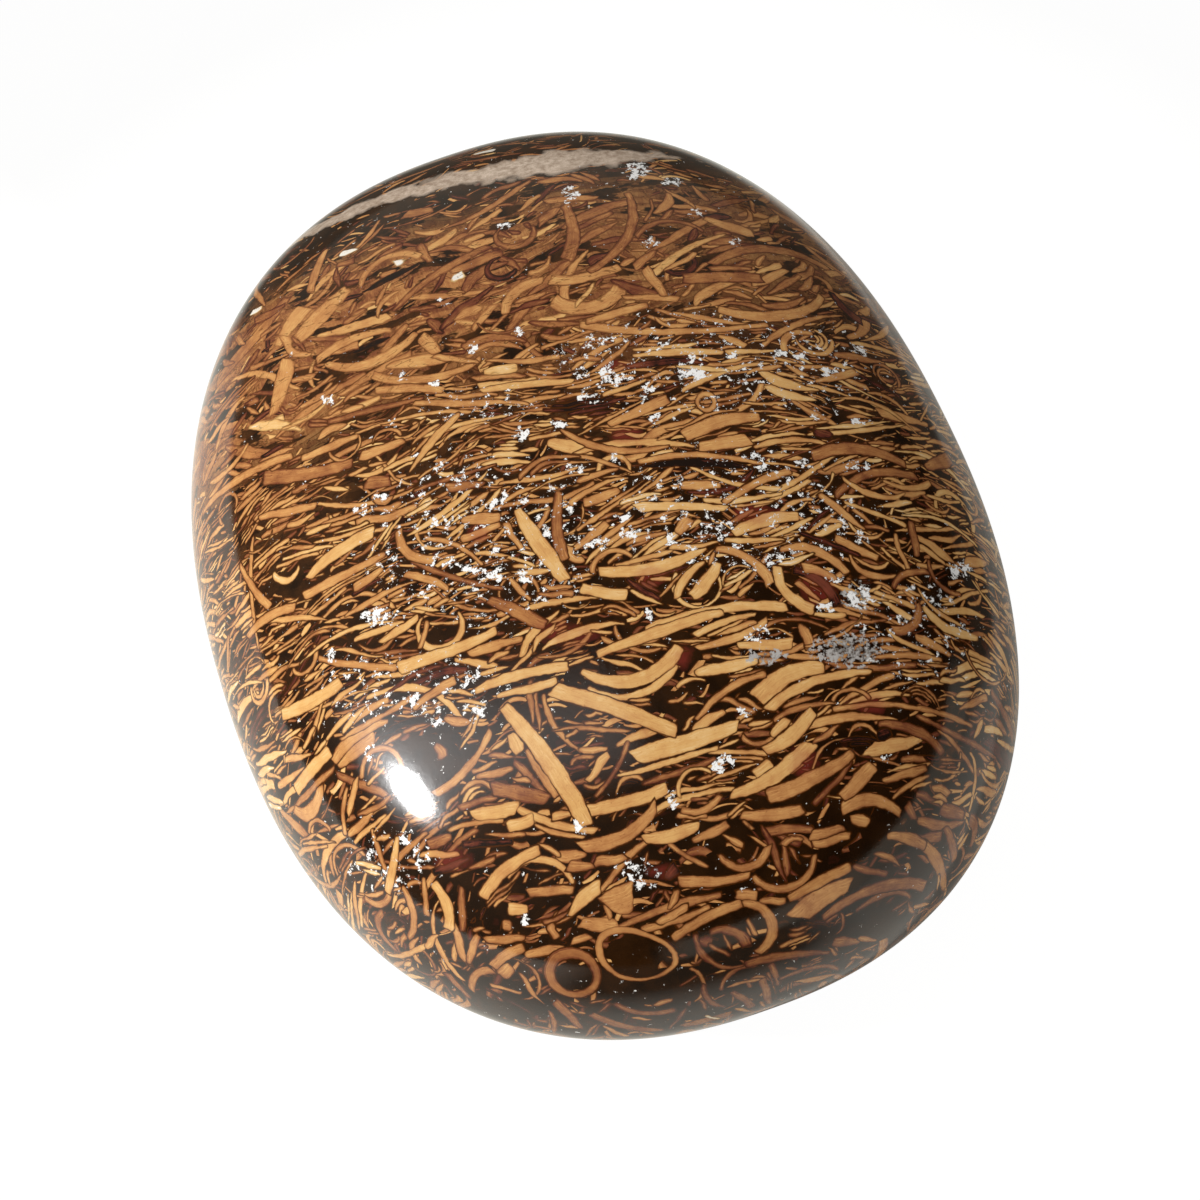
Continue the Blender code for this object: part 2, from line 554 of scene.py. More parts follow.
# %% Slivers near the left shoulder
NEAR_LEFT_SLIVERS = [
    ((282, 714), (315, 700), (341, 681), 13, GOLD), ((413, 710), (430, 695), (455, 681), 8, OCHRE),
    ((340, 740), (376, 719), (413, 697), 5, OCHRE), ((334, 761), (360, 733), (388, 721), 12, OCHRE),
    ((338, 763), (351, 755), (374, 735), 12, OCHRE), ((296, 790), (315, 766), (330, 751), 13, GOLD),
    ((294, 808), (306, 814), (320, 786), 14, OCHRE), ((309, 834), (317, 820), (331, 831), 5, OCHRE),
    ((346, 836), (343, 811), (348, 786), 5, OCHRE), ((348, 836), (360, 825), (374, 808), 8, OCHRE),
    ((388, 893), (393, 864), (398, 836), 9, GOLD), ((371, 828), (378, 849), (386, 870), 6, OCHRE),
    ((364, 897), (376, 904), (390, 893), 7, OCHRE), ((337, 775), (365, 786), (393, 800), 7, BROWN),
    ((477, 777), (496, 773), (514, 768), 7, OCHRE), ((472, 772), (485, 767), (497, 761), 4, OCHRE),
    ((461, 794), (477, 782), (491, 789), 4, OCHRE), ((492, 789), (520, 793), (547, 800), 14, BROWN),
    ((514, 761), (532, 779), (550, 797), 7, BROWN), ((472, 815), (494, 812), (517, 808), 12, GOLD),
    ((458, 808), (478, 802), (497, 797), 6, BROWN), ((449, 831), (477, 822), (503, 820), 5, OCHRE),
    ((508, 828), (521, 823), (534, 818), 11, GOLD), ((483, 897), (505, 870), (539, 850), 11, GOLD),
    ((508, 878), (539, 859), (573, 884), 6, GOLD), ((528, 893), (550, 891), (573, 890), 9, OCHRE),
    ((433, 873), (451, 866), (469, 859), 6, RED), ((427, 845), (440, 841), (452, 836), 10, BROWN),
    ((461, 845), (486, 843), (511, 841), 6, RED), ((433, 884), (444, 898), (448, 929), 11, GOLD),
    ((424, 878), (425, 896), (427, 915), 6, OCHRE), ((462, 887), (462, 909), (462, 932), 7, BROWN),
    ((454, 907), (455, 919), (456, 932), 6, OCHRE), ((570, 915), (582, 900), (601, 884), 12, GOLD),
    ((579, 924), (599, 925), (619, 927), 14, OCHRE), ((571, 849), (596, 843), (620, 836), 12, OCHRE),
    ((402, 887), (413, 912), (408, 938), 8, OCHRE),
]
print("slivers read:", len(NEAR_LEFT_SLIVERS))

# %% [markdown]
# ## Slivers near the right shoulder
# On the right the strokes are broad and rise to the right. Lower down they merge into wide bands
# beside dark, nearly bare stone.

# %% Slivers near the right shoulder
NEAR_RIGHT_SLIVERS = [
    ((758, 699), (786, 676), (824, 667), 17, GOLD), ((768, 710), (812, 682), (870, 673), 9, GOLD),
    ((833, 702), (853, 689), (870, 700), 4, OCHRE), ((764, 751), (792, 735), (813, 710), 13, GOLD),
    ((731, 796), (776, 774), (811, 744), 14, GOLD), ((768, 796), (814, 778), (853, 753), 13, OCHRE),
    ((881, 781), (903, 775), (926, 768), 8, OCHRE), ((833, 710), (905, 706), (972, 727), 5, OCHRE),
    ((879, 725), (918, 731), (942, 753), 9, BROWN), ((888, 836), (908, 838), (925, 846), 11, OCHRE),
    ((923, 843), (937, 862), (944, 889), 12, OCHRE), ((587, 810), (624, 803), (668, 787), 12, GOLD),
    ((680, 798), (679, 783), (712, 773), 3, TAN), ((580, 847), (618, 839), (656, 806), 12, OCHRE),
    ((644, 840), (671, 835), (699, 826), 12, GOLD), ((681, 810), (706, 809), (721, 794), 6, OCHRE),
    ((677, 815), (691, 816), (706, 816), 5, OCHRE), ((691, 842), (709, 834), (727, 825), 8, OCHRE),
    ((740, 815), (771, 815), (803, 809), 11, OCHRE), ((755, 776), (763, 770), (772, 765), 12, GOLD),
    ((771, 737), (779, 728), (788, 719), 8, GOLD), ((823, 662), (868, 668), (917, 665), 6, BROWN),
    ((873, 658), (906, 655), (941, 660), 6, OCHRE), ((917, 715), (947, 731), (1002, 760), 6, BROWN),
    ((841, 810), (873, 800), (901, 815), 11, OCHRE), ((841, 798), (858, 782), (873, 766), 14, OCHRE),
    ((815, 804), (834, 783), (853, 760), 5, BROWN), ((850, 819), (859, 820), (868, 822), 11, OCHRE),
    ((907, 804), (911, 811), (914, 819), 8, BROWN), ((719, 854), (745, 868), (768, 846), 7, OCHRE),
    ((782, 845), (791, 839), (803, 840), 5, OCHRE), ((810, 836), (827, 832), (844, 828), 9, OCHRE),
    ((813, 844), (832, 840), (850, 835), 8, OCHRE), ((680, 882), (718, 881), (750, 875), 9, OCHRE),
    ((753, 876), (775, 889), (815, 855), 7, OCHRE), ((788, 900), (821, 881), (851, 867), 11, OCHRE),
    ((797, 917), (821, 898), (850, 885), 19, OCHRE), ((822, 919), (859, 895), (925, 886), 11, BROWN),
    ((857, 910), (882, 895), (911, 898), 6, BROWN), ((917, 840), (930, 838), (942, 836), 10, BROWN),
    ((944, 828), (953, 845), (953, 863), 10, BROWN), ((970, 819), (975, 831), (970, 848), 11, BROWN),
    ((941, 809), (953, 812), (964, 816), 13, BROWN), ((991, 690), (1005, 716), (1013, 740), 9, BROWN),
    ((853, 866), (870, 871), (888, 875), 6, BROWN), ((606, 905), (620, 900), (634, 893), 26, OCHRE),
]
print("slivers read:", len(NEAR_RIGHT_SLIVERS))

# %% [markdown]
# ## Slivers at the near end
# Below the shoulder the beds lie face-on, and the slivers are arches, hooks and blobs round the
# two rings.

# %% Slivers at the near end
NEAR_END_SLIVERS = [
    ((674, 938), (711, 915), (742, 903), 9, OCHRE), ((742, 903), (770, 918), (757, 953), 10, OCHRE),
    ((643, 930), (674, 921), (711, 907), 6, OCHRE), ((711, 933), (738, 933), (747, 946), 9, BROWN),
    ((695, 933), (708, 960), (745, 965), 5, BROWN), ((745, 965), (790, 955), (830, 953), 9, BROWN),
    ((720, 991), (732, 973), (757, 964), 5, BROWN), ((704, 985), (714, 1004), (726, 1007), 5, BROWN),
    ((689, 968), (704, 982), (695, 1001), 3, OCHRE), ((616, 1004), (640, 1013), (674, 1010), 7, BROWN),
    ((591, 1014), (619, 1025), (665, 1030), 10, BROWN), ((554, 1001), (570, 1016), (579, 1028), 10, BROWN),
    ((484, 987), (509, 1001), (533, 1014), 5, RED), ((446, 973), (457, 985), (469, 998), 8, BROWN),
    ((472, 991), (475, 976), (493, 970), 8, OCHRE), ((501, 976), (506, 971), (512, 967), 13, OCHRE),
    ((486, 941), (505, 939), (524, 938), 9, OCHRE), ((493, 967), (512, 952), (524, 947), 10, OCHRE),
    ((525, 955), (545, 951), (565, 949), 10, OCHRE), ((469, 964), (472, 949), (479, 935), 7, OCHRE),
    ((550, 924), (553, 932), (556, 939), 8, OCHRE), ((571, 942), (581, 939), (591, 936), 7, OCHRE),
    ((383, 912), (380, 930), (398, 952), 8, BROWN), ((453, 933), (463, 906), (464, 890), 7, BROWN),
    ((527, 893), (541, 893), (556, 893), 8, GOLD), ((833, 942), (846, 942), (860, 942), 12, BROWN),
    ((781, 979), (802, 970), (839, 970), 6, BROWN), ((763, 979), (766, 991), (770, 1004), 8, BROWN),
    ((732, 991), (743, 999), (753, 1007), 7, BROWN), ((507, 909), (517, 909), (527, 909), 12, GOLD),
    ((594, 863), (610, 860), (625, 857), 9, OCHRE), ((567, 866), (580, 866), (594, 866), 9, OCHRE),
    ((669, 909), (674, 900), (677, 890), 6, OCHRE), ((735, 895), (746, 895), (757, 895), 10, OCHRE),
    ((760, 901), (773, 901), (787, 901), 7, OCHRE), ((668, 878), (672, 872), (677, 866), 9, RED),
]
print("slivers read:", len(NEAR_END_SLIVERS))

# %% [markdown]
# ## Slivers in the middle, on the right
# Across the middle the strokes are finer and flatter, with one black lens among them, where a
# shell left a hollow that the mud filled.

# %% Slivers in the middle, on the right
MIDDLE_RIGHT_SLIVERS = [
    ((636, 467), (694, 463), (753, 468), 9, BLACK), ((777, 567), (788, 594), (814, 610), 10, GOLD),
    ((796, 582), (808, 591), (820, 601), 5, OCHRE), ((802, 568), (822, 572), (836, 580), 9, OCHRE),
    ((792, 570), (824, 585), (837, 606), 9, RED), ((800, 532), (832, 545), (862, 556), 5, RED),
    ((892, 588), (906, 574), (928, 572), 6, BROWN), ((928, 560), (938, 583), (961, 594), 4, BROWN),
    ((804, 627), (807, 638), (811, 649), 9, OCHRE), ((812, 614), (828, 615), (845, 615), 6, GOLD),
    ((915, 636), (933, 645), (950, 655), 9, OCHRE), ((683, 436), (712, 424), (759, 417), 15, OCHRE),
    ((700, 447), (725, 443), (750, 439), 14, OCHRE), ((639, 462), (697, 455), (762, 464), 6, OCHRE),
    ((812, 456), (859, 449), (906, 465), 13, BROWN), ((835, 496), (862, 477), (917, 477), 9, BROWN),
    ((680, 486), (700, 485), (721, 486), 10, OCHRE), ((636, 508), (683, 506), (727, 509), 9, TAN),
    ((818, 494), (838, 509), (865, 530), 8, OCHRE), ((844, 503), (873, 512), (906, 527), 5, GOLD),
    ((733, 534), (762, 521), (799, 516), 13, GOLD), ((724, 503), (750, 486), (791, 471), 8, OCHRE),
    ((677, 533), (683, 525), (689, 518), 12, OCHRE), ((724, 540), (755, 540), (785, 540), 6, GOLD),
    ((780, 550), (809, 549), (848, 574), 9, OCHRE), ((835, 538), (857, 549), (879, 559), 9, OCHRE),
    ((715, 549), (744, 556), (771, 585), 9, OCHRE), ((917, 601), (871, 612), (893, 630), 9, BROWN),
    ((592, 574), (606, 553), (633, 556), 5, OCHRE), ((598, 571), (653, 568), (706, 547), 12, GOLD),
    ((677, 597), (688, 574), (706, 562), 8, GOLD), ((691, 597), (709, 579), (718, 563), 13, GOLD),
    ((659, 597), (675, 581), (691, 565), 3, OCHRE), ((911, 521), (914, 539), (917, 556), 8, BROWN),
    ((894, 533), (901, 552), (909, 571), 5, OCHRE), ((926, 468), (938, 463), (950, 459), 14, BROWN),
    ((815, 430), (823, 433), (832, 436), 12, RED), ((609, 424), (639, 411), (668, 398), 12, OCHRE),
]
print("slivers read:", len(MIDDLE_RIGHT_SLIVERS))

# %% [markdown]
# ## Slivers beyond the middle, on the right
# Further on, two large arcs face each other like brackets lying on their backs.

# %% Slivers beyond the middle, on the right
FAR_RIGHT_SLIVERS = [
    ((627, 193), (628, 235), (588, 272), 10, BROWN), ((636, 237), (656, 223), (703, 231), 6, BROWN),
    ((683, 278), (722, 277), (762, 278), 14, BROWN), ((718, 308), (762, 317), (821, 296), 13, OCHRE),
    ((712, 264), (771, 249), (829, 270), 12, BROWN), ((580, 325), (697, 331), (768, 325), 8, OCHRE),
    ((586, 322), (617, 313), (647, 305), 9, OCHRE), ((633, 356), (677, 352), (724, 353), 8, GOLD),
    ((644, 267), (655, 282), (665, 296), 10, OCHRE), ((815, 381), (836, 377), (856, 372), 9, OCHRE),
    ((832, 293), (844, 308), (862, 322), 12, RED), ((785, 352), (791, 334), (812, 334), 7, OCHRE),
]
print("slivers read:", len(FAR_RIGHT_SLIVERS))

# %% [markdown]
# ## Slivers beyond the middle, on the left
# On the far left the fossil matter is merged, and single slivers show as broad swellings with
# black lenses between them.

# %% Slivers beyond the middle, on the left
FAR_LEFT_SLIVERS = [
    ((404, 215), (418, 212), (433, 210), 13, BROWN), ((382, 229), (416, 221), (452, 204), 3, BROWN),
    ((360, 288), (382, 260), (421, 257), 8, OCHRE), ((393, 311), (433, 277), (489, 246), 9, BROWN),
    ((317, 361), (360, 336), (393, 330), 10, OCHRE), ((326, 364), (376, 361), (416, 333), 12, OCHRE),
    ((273, 415), (281, 389), (287, 358), 20, OCHRE), ((298, 339), (320, 316), (348, 288), 24, OCHRE),
    ((505, 314), (517, 291), (542, 280), 12, OCHRE), ((553, 300), (573, 308), (620, 288), 16, OCHRE),
    ((550, 280), (587, 277), (620, 266), 12, OCHRE), ((564, 204), (573, 232), (567, 260), 12, BROWN),
    ((567, 255), (574, 254), (581, 254), 20, OCHRE), ((483, 372), (500, 370), (517, 367), 11, TAN),
    ((477, 387), (507, 384), (536, 381), 10, GOLD), ((536, 387), (555, 384), (573, 381), 9, OCHRE),
    ((421, 336), (430, 345), (438, 353), 13, OCHRE), ((362, 292), (391, 278), (420, 262), 7, BLACK),
    ((346, 355), (368, 346), (390, 337), 6, BLACK), ((380, 276), (388, 274), (396, 272), 8, BROWN),
]
print("slivers read:", len(FAR_LEFT_SLIVERS))

# %% [markdown]
# ## Lay the drawn slivers
# Later slivers slide under earlier ones, and one that is mostly hidden by others is left out. A
# black lens is pinched to nothing at both ends. White marks are partly chips in the polish and
# partly painted reflections of small lights. The single marks are a black arc, a hook and a brown
# oval beside the highlight, and three dark spots elsewhere.

# %% Place the drawn slivers
MOSTLY_HIDDEN = 0.6
LENS_PINCH, OTHER_PINCHES = 0.9, (0.05, 0.45)
SINGLE_MARKS = [
    ((376, 742), (396, 727), (440, 723), 6, BLACK), ((362, 778), (384, 748), (402, 772), 5, OCHRE),
    ((436, 744), (440, 750), (443, 757), 9, BROWN), ((878, 736), (884, 734), (890, 732), 10, RED),
    ((683, 1026), (708, 1020), (730, 1014), 12, BROWN), ((338, 265), (346, 263), (354, 261), 8, BROWN),
]
# White marks: partly chips in the polish, partly painted reflections of small lights.
CHIPS_AND_PAINTED_REFLECTIONS = [
    ((472, 155), (484, 152), (495, 150), 7, WHITE), ((340, 254), (348, 252), (357, 249), 8, WHITE),
    ((251, 313), (256, 311), (261, 308), 8, WHITE), ((453, 281), (458, 277), (464, 273), 9, WHITE),
    ((394, 264), (398, 263), (403, 262), 8, WHITE), ((706, 1016), (714, 1018), (720, 1019), 4, WHITE),
]
drawn = (
    CHIPS_AND_PAINTED_REFLECTIONS + SINGLE_MARKS + NEAR_MIDDLE_SLIVERS + NEAR_RIGHT_SLIVERS + NEAR_LEFT_SLIVERS
    + NEAR_END_SLIVERS + LEFT_SLIVERS + MIDDLE_RIGHT_SLIVERS + FAR_RIGHT_SLIVERS + FAR_LEFT_SLIVERS
)
crowded = 0
for first, halfway, last, wide, tone in drawn:
    pinch = LENS_PINCH if tone == BLACK else hand.uniform(*OTHER_PINCHES)
    mark = drawn_sliver(first, halfway, last, wide, tone, pinch)
    crowded += not place(mark, overlap=MOSTLY_HIDDEN)
print("marks placed:", len(placed), "- left out:", crowded)

# %% [markdown]
# ## The pale vein
# A crack ran through the stone near its far end, almost along the beds, and filled with pale
# grainy quartz. It is a sheet in the stone, so it is given as one: its bed height falls slowly
# with x, it is thin on the left, thicker in the middle, and dies out on the right. No sliver
# crosses it, and the stone beside it is dark.

# %% The vein as a sheet
VEIN_BED, VEIN_FALL = 25.6, 0.11
VEIN_PLACES = (-25, -9, -2, 7, 11, 15, 25)
VEIN_HALVES = (0.45, 0.60, 0.95, 1.35, 1.0, 0.0, 0.0)
VEIN_MARGIN = 0.5
BARE_FROM = 0.1


def vein_gap(points):
    """How far outside the vein a point is: its distance from the sheet, less the half thickness."""
    centre = VEIN_BED - VEIN_FALL * points[..., 0]
    away = np.abs((points - stone_middle) @ BED_NORMAL - centre)
    return away - np.interp(points[..., 0], VEIN_PLACES, VEIN_HALVES)


beside_vein = vein_gap(centres) < VEIN_MARGIN
covered |= beside_vein
for box in BARE_BOXES:
    covered[seen_cells] |= box_share(seen_pixels, box) > BARE_FROM
print("cells kept free:", beside_vein.sum(), "at the vein")

# %% [markdown]
# ## How the beds differ
# Thousands of slivers fill the rest, on the hidden sides too. Their sizes, their order and their
# colour follow the beds: coarse and golden near the viewer, fine across the middle, broad and
# merged further on, and fewer in the dark beds at both ends. Each line gives one property at the
# same ten bed heights, and the heights between are found by straight lines.

# %% Tables over the bed height
BED_PLACES = (-33, -29, -24, -12, -4, 5, 11, 19, 22.5, 33)
HALF_WIDTHS = (0.19, 0.20, 0.20, 0.175, 0.150, 0.165, 0.28, 0.34, 0.17, 0.15)
LENGTHS = (2.4, 2.8, 3.6, 4.0, 3.8, 3.6, 3.3, 3.0, 2.8, 2.8)
SPREADS = (1.2, 1.0, 0.60, 0.50, 0.36, 0.34, 0.70, 1.00, 0.50, 0.30)
KEEPS = (0.48, 0.56, 0.72, 0.86, 0.92, 0.84, 0.42, 0.26, 0.14, 0.26)
OVERLAPS = (0.12, 0.13, 0.18, 0.25, 0.28, 0.28, 0.32, 0.27, 0.15, 0.15)
TONES = (0.50, 0.54, 0.62, 0.66, 0.66, 0.59, 0.49, 0.44, 0.38, 0.38)
MATES = (0.20, 0.30, 0.45, 0.55, 0.60, 0.55, 0.25, 0.12, 0.15, 0.15)
draw = np.random.default_rng(20)


def at_bed(cell, table):
    """A property at a cell's bed height."""
    return np.interp(beds[cell], BED_PLACES, table)


print("middle beds: half width", HALF_WIDTHS[4], "mm, length", LENGTHS[4], "mm")

# %% [markdown]
# ## A thrown sliver
# Most slivers are long and gently bent. About one in eight is a hook or a curl, the rim of a small
# shell cut across, and a few lie athwart the rest. Lengths and widths are spread by a factor, so
# that there are many small ones and few large ones.

# %% One random sliver
HOOK_SHARE, HOOK_BENDS, HOOK_THINNER = 0.13, (0.25, 1.1), 0.7
ATHWART_SHARE, ATHWART_TURN = 0.09, 0.9
LENGTH_VARIES, WIDTH_VARIES, TONE_VARIES = 0.40, 0.34, 0.09
LENGTH_OVER_HALF = (5.0, 7.0, 10.0)
RED_SHARE, SMALL_ONES_BROWNER, TONE_LIMITS = 0.035, 0.14, (0.22, 0.84)
LONGEST = 7.5


def thrown_sliver(cell, size):
    """A random sliver on a cell: its heading is the bed's line there, turned by the bed's spread."""
    at, normal = centres[cell], normals[cell]
    line = np.cross(normal, BED_NORMAL)
    loose = at_bed(cell, SPREADS) / max(np.linalg.norm(line), 0.25)
    angle = loose * (0.75 * wander(at, 9.0, 3) + draw.normal(0, 0.55))
    if draw.random() < ATHWART_SHARE:
        angle += draw.uniform(-ATHWART_TURN, ATHWART_TURN)
    flat = frame_at(at, normal, line + 1e-6)
    heading = math.cos(angle) * flat[0] + math.sin(angle) * flat[1]
    length = size * at_bed(cell, LENGTHS) * math.exp(draw.normal(0, LENGTH_VARIES))
    length = min(length, LONGEST)
    half = size ** 0.6 * at_bed(cell, HALF_WIDTHS) * math.exp(draw.normal(0, WIDTH_VARIES))
    half = min(half, length / draw.choice(LENGTH_OVER_HALF))
    bend = 0.10 * wander(at, 7.0, 8) + draw.normal(0, 0.10)
    if draw.random() < HOOK_SHARE:
        bend = draw.choice([-1, 1]) * draw.uniform(*HOOK_BENDS)
        half *= HOOK_THINNER
    bend = float(np.clip(bend, -1.4 * math.pi / length, 1.4 * math.pi / length))
    own_tone = at_bed(cell, TONES) + draw.normal(0, TONE_VARIES) - SMALL_ONES_BROWNER * (1 - size)
    tone = RED if draw.random() < RED_SHARE else np.clip(own_tone, *TONE_LIMITS)
    return sliver(
        at, frame_at(at, normal, heading), bend, -length / 2, length / 2, half, tone,
        sway=draw.normal(0, 0.03) * length ** 0.5, lean=draw.uniform(-0.5, 0.5),
        pinch=draw.uniform(0.15, 0.85), slant=draw.normal(0, 0.5), turn=draw.uniform(0, 6.3),
    )


print("longest sliver, mm:", LONGEST)

# %% [markdown]
# ## A sliver's mate
# Shell and stem split along their layers, so slivers often lie in bundles, side by side. A mate
# is a thinner copy that runs parallel to its neighbour, a hair's breadth away and slid along it.

# %% A parallel neighbour
MATE_GAP = 0.07


def mate_of(mark):
    """A neighbour parallel to a sliver: an arc shifted by s has the bend k / (1 - ks)."""
    half = mark["half"] * draw.uniform(0.5, 1.0)
    shift = (mark["half"] + half + MATE_GAP) * draw.choice([-1, 1])
    bend = mark["bend"] / max(1 - mark["bend"] * shift, 0.4)
    length = mark["end"] - mark["start"]
    slide = draw.normal(0, 0.18) * length
    start = mark["start"] * draw.uniform(0.45, 1.0) + slide
    end = mark["end"] * draw.uniform(0.45, 1.0) + slide
    at = mark["at"] + mark["axes"][1] * shift
    return sliver(
        at, mark["axes"], bend, start, end, max(half, 0.08), mark["tone"] + draw.normal(0, 0.05),
        sway=mark["sway"], lean=draw.uniform(-0.5, 0.5), pinch=draw.uniform(0.3, 0.9),
        slant=draw.normal(0, 0.5), turn=mark["turn"],
    )


print("share of slivers with a mate, middle beds:", MATES[4])

# %% [markdown]
# ## Rings on the hidden ends
# The far end and the undersides of both ends show the beds face-on too, so they have rings of
# their own, seen only when the stone is turned over in the hand.

# %% Throw a few rings where the picture doesn't look
RING_THROWS = 900
RING_LIMIT = 22
face_on = np.abs(normals @ BED_NORMAL)
rings_thrown = 0
for cell in draw.integers(0, len(quads), RING_THROWS):
    if facing[cell] or face_on[cell] < 0.72 or rings_thrown == RING_LIMIT:
        continue
    radius = draw.uniform(0.5, 2.0)
    ring = {
        "at": centres[cell], "axes": frame_at(centres[cell], normals[cell], draw.normal(size=3)),
        "squash": draw.uniform(0.5, 0.95), "radius": radius, "half": draw.uniform(0.16, 0.28),
        "point": draw.uniform(0, 0.06), "egg": 0.0, "uneven": 0.3, "turn": draw.uniform(0, 6.3),
        "tone": float(at_bed(cell, TONES)), "ruler": ring_ruler, "reach": radius * 1.1 + 1.0,
    }
    if place(ring, overlap=0.02):
        rings_thrown += 1
        near = cells_near(ring)
        covered[near[ring_ruler(ring, centres[near])[0] < 0]] = True
print("rings thrown:", rings_thrown)

# %% [markdown]
# ## Throw the slivers
# Large ones go first, and each is kept only where there is room, as stones fill a jar before
# sand. A wandering number thins them out in some places, where the dark stone then shows.

# %% Large slivers first
THROWS = ((1.3, 1100), (1.0, 4000), (0.75, 9000), (0.55, 11000), (0.4, 9000))
MEAN_KEEP, KEEP_SWING = 0.88, 0.30
LOOSE_OVERLAP = 0.25

for size, throws in THROWS:
    before = len(placed)
    for cell in draw.integers(0, len(quads), throws):
        keep = at_bed(cell, KEEPS) * (MEAN_KEEP + KEEP_SWING * wander(centres[cell], 6.0, 5))
        overlap = at_bed(cell, OVERLAPS)
        if (covered[cell] and overlap < LOOSE_OVERLAP) or draw.random() > keep:
            continue
        mark = thrown_sliver(cell, size)
        while place(mark, overlap) and draw.random() < at_bed(cell, MATES):
            mark = mate_of(mark)
    kept = len(placed) - before
    print("size", size, "slivers kept:", kept, "- skin covered:", round(covered.mean(), 3))

# %% [markdown]
# ## Quartz, painted glints and red stains
# Between the slivers the stone isn't one even black. In places it is grey with fine quartz, in
# places it glints with crystal faces, and here and there it is stained red. The glints are painted
# highlights, white flecks in the colour. Each such place in view is a box in the picture, which
# stands for the ellipse that fills it. A few large boxes say where a thin scatter of painted
# glitter lies.

# %% Boxes in the picture
QUARTZ_BOXES = (
    (806, 630, 892, 670), (846, 640, 884, 664), (740, 648, 790, 664), (840, 580, 878, 612),
)
# Places of the painted glints: white flecks that stand for light caught by crystal faces.
PAINTED_GLINT_BOXES = (
    (598, 360, 614, 382), (610, 372, 634, 388), (624, 370, 646, 386), (640, 380, 656, 394),
    (672, 364, 712, 382), (674, 356, 698, 368), (722, 347, 744, 366), (704, 346, 726, 354),
    (768, 347, 788, 360), (790, 346, 810, 360), (784, 332, 798, 342), (804, 411, 832, 424),
    (848, 415, 872, 427), (820, 364, 842, 380), (840, 458, 874, 474), (572, 390, 604, 406),
    (548, 418, 568, 432), (562, 462, 588, 477), (608, 452, 624, 466), (562, 500, 578, 516),
    (616, 528, 640, 541), (590, 535, 610, 552), (663, 532, 680, 546), (682, 542, 698, 554),
    (541, 526, 556, 548), (711, 520, 742, 535), (754, 550, 788, 568), (790, 457, 820, 471),
    (802, 500, 816, 512), (850, 528, 872, 546), (651, 338, 668, 351), (596, 337, 612, 348),
    (584, 332, 596, 342), (852, 343, 870, 356), (648, 408, 662, 430), (370, 490, 392, 503),
    (350, 500, 376, 518), (430, 458, 452, 470), (392, 480, 406, 489), (448, 472, 472, 486),
    (428, 512, 460, 530), (484, 544, 506, 588), (458, 562, 492, 588), (416, 586, 436, 606),
    (512, 562, 538, 586), (488, 496, 506, 512), (512, 494, 534, 506), (405, 450, 418, 460),
    (612, 512, 632, 524), (322, 646, 342, 670), (356, 604, 408, 630), (470, 666, 486, 682),
    (402, 688, 424, 710), (362, 740, 380, 766), (460, 698, 486, 722), (364, 838, 380, 860),
    (402, 830, 416, 846), (410, 852, 442, 873), (570, 816, 590, 838), (516, 910, 532, 926),
    (420, 717, 450, 727), (730, 704, 758, 719), (706, 750, 740, 777), (664, 788, 680, 810),
    (612, 856, 662, 890), (736, 880, 760, 893), (880, 750, 896, 766), (642, 606, 656, 624),
    (750, 622, 770, 640), (740, 632, 784, 646), (706, 638, 730, 650), (686, 572, 704, 592),
    (812, 600, 842, 615), (842, 582, 880, 612), (944, 556, 980, 584), (822, 570, 846, 586),
    (618, 158, 652, 182), (558, 182, 582, 206), (686, 206, 708, 220), (494, 220, 514, 234),
    (640, 236, 662, 250), (726, 236, 746, 250), (656, 176, 690, 186), (508, 424, 534, 442),
    (434, 294, 452, 308), (394, 370, 412, 384), (424, 376, 442, 390), (464, 342, 482, 355),
    (512, 324, 528, 338), (288, 349, 304, 361), (382, 417, 400, 430), (318, 392, 336, 406),
)
# Places of a thin scatter of painted glitter, painted highlights as well.
PAINTED_GLITTER_BOXES = (
    (500, 300, 920, 430), (330, 430, 640, 650), (580, 430, 900, 590), (290, 640, 530, 740),
    (330, 820, 450, 900), (840, 560, 990, 700), (400, 380, 560, 430),
)
RED_BOXES = (
    (664, 636, 702, 672), (790, 560, 840, 610), (600, 420, 650, 450), (720, 500, 790, 530),
    (840, 690, 900, 720), (460, 520, 500, 545), (620, 560, 680, 590), (780, 740, 830, 790),
    (514, 612, 604, 654), (420, 840, 480, 880), (640, 862, 690, 884), (590, 355, 650, 375),
)
print("boxes of glints:", len(PAINTED_GLINT_BOXES), "- of red stains:", len(RED_BOXES))

# %% [markdown]
# ## Four shares on every point
# The places are kept as four numbers on every point of the mesh: quartz, painted glints, red and
# bare. In view they come from the boxes, and fade towards the edge of each ellipse. The hidden side
# has its own, thrown at random.

# %% Quartz, painted glints, red and bare
GLITTER_SHARE = 0.50

point_normals = np.zeros_like(skin)
np.add.at(point_normals, quads, normals[:, None, :])
seen_points = ((eye - skin) * point_normals).sum(1) > 0
point_pixels = in_picture(skin)


def boxes_share(boxes, edge=0.8):
    """The largest box share at each point in view, from 0 at the boxes' ellipses to 1 within."""
    share = np.max([box_share(point_pixels, box) for box in boxes], axis=0)
    return np.where(seen_points, np.clip(share / edge, 0, 1), 0)


def hidden_share(seed, size, level):
    """Random places for the hidden side: where a wandering number rises above a level."""
    return np.where(seen_points, 0, np.clip((wander(skin, size, seed) - level) * 3, 0, 1))


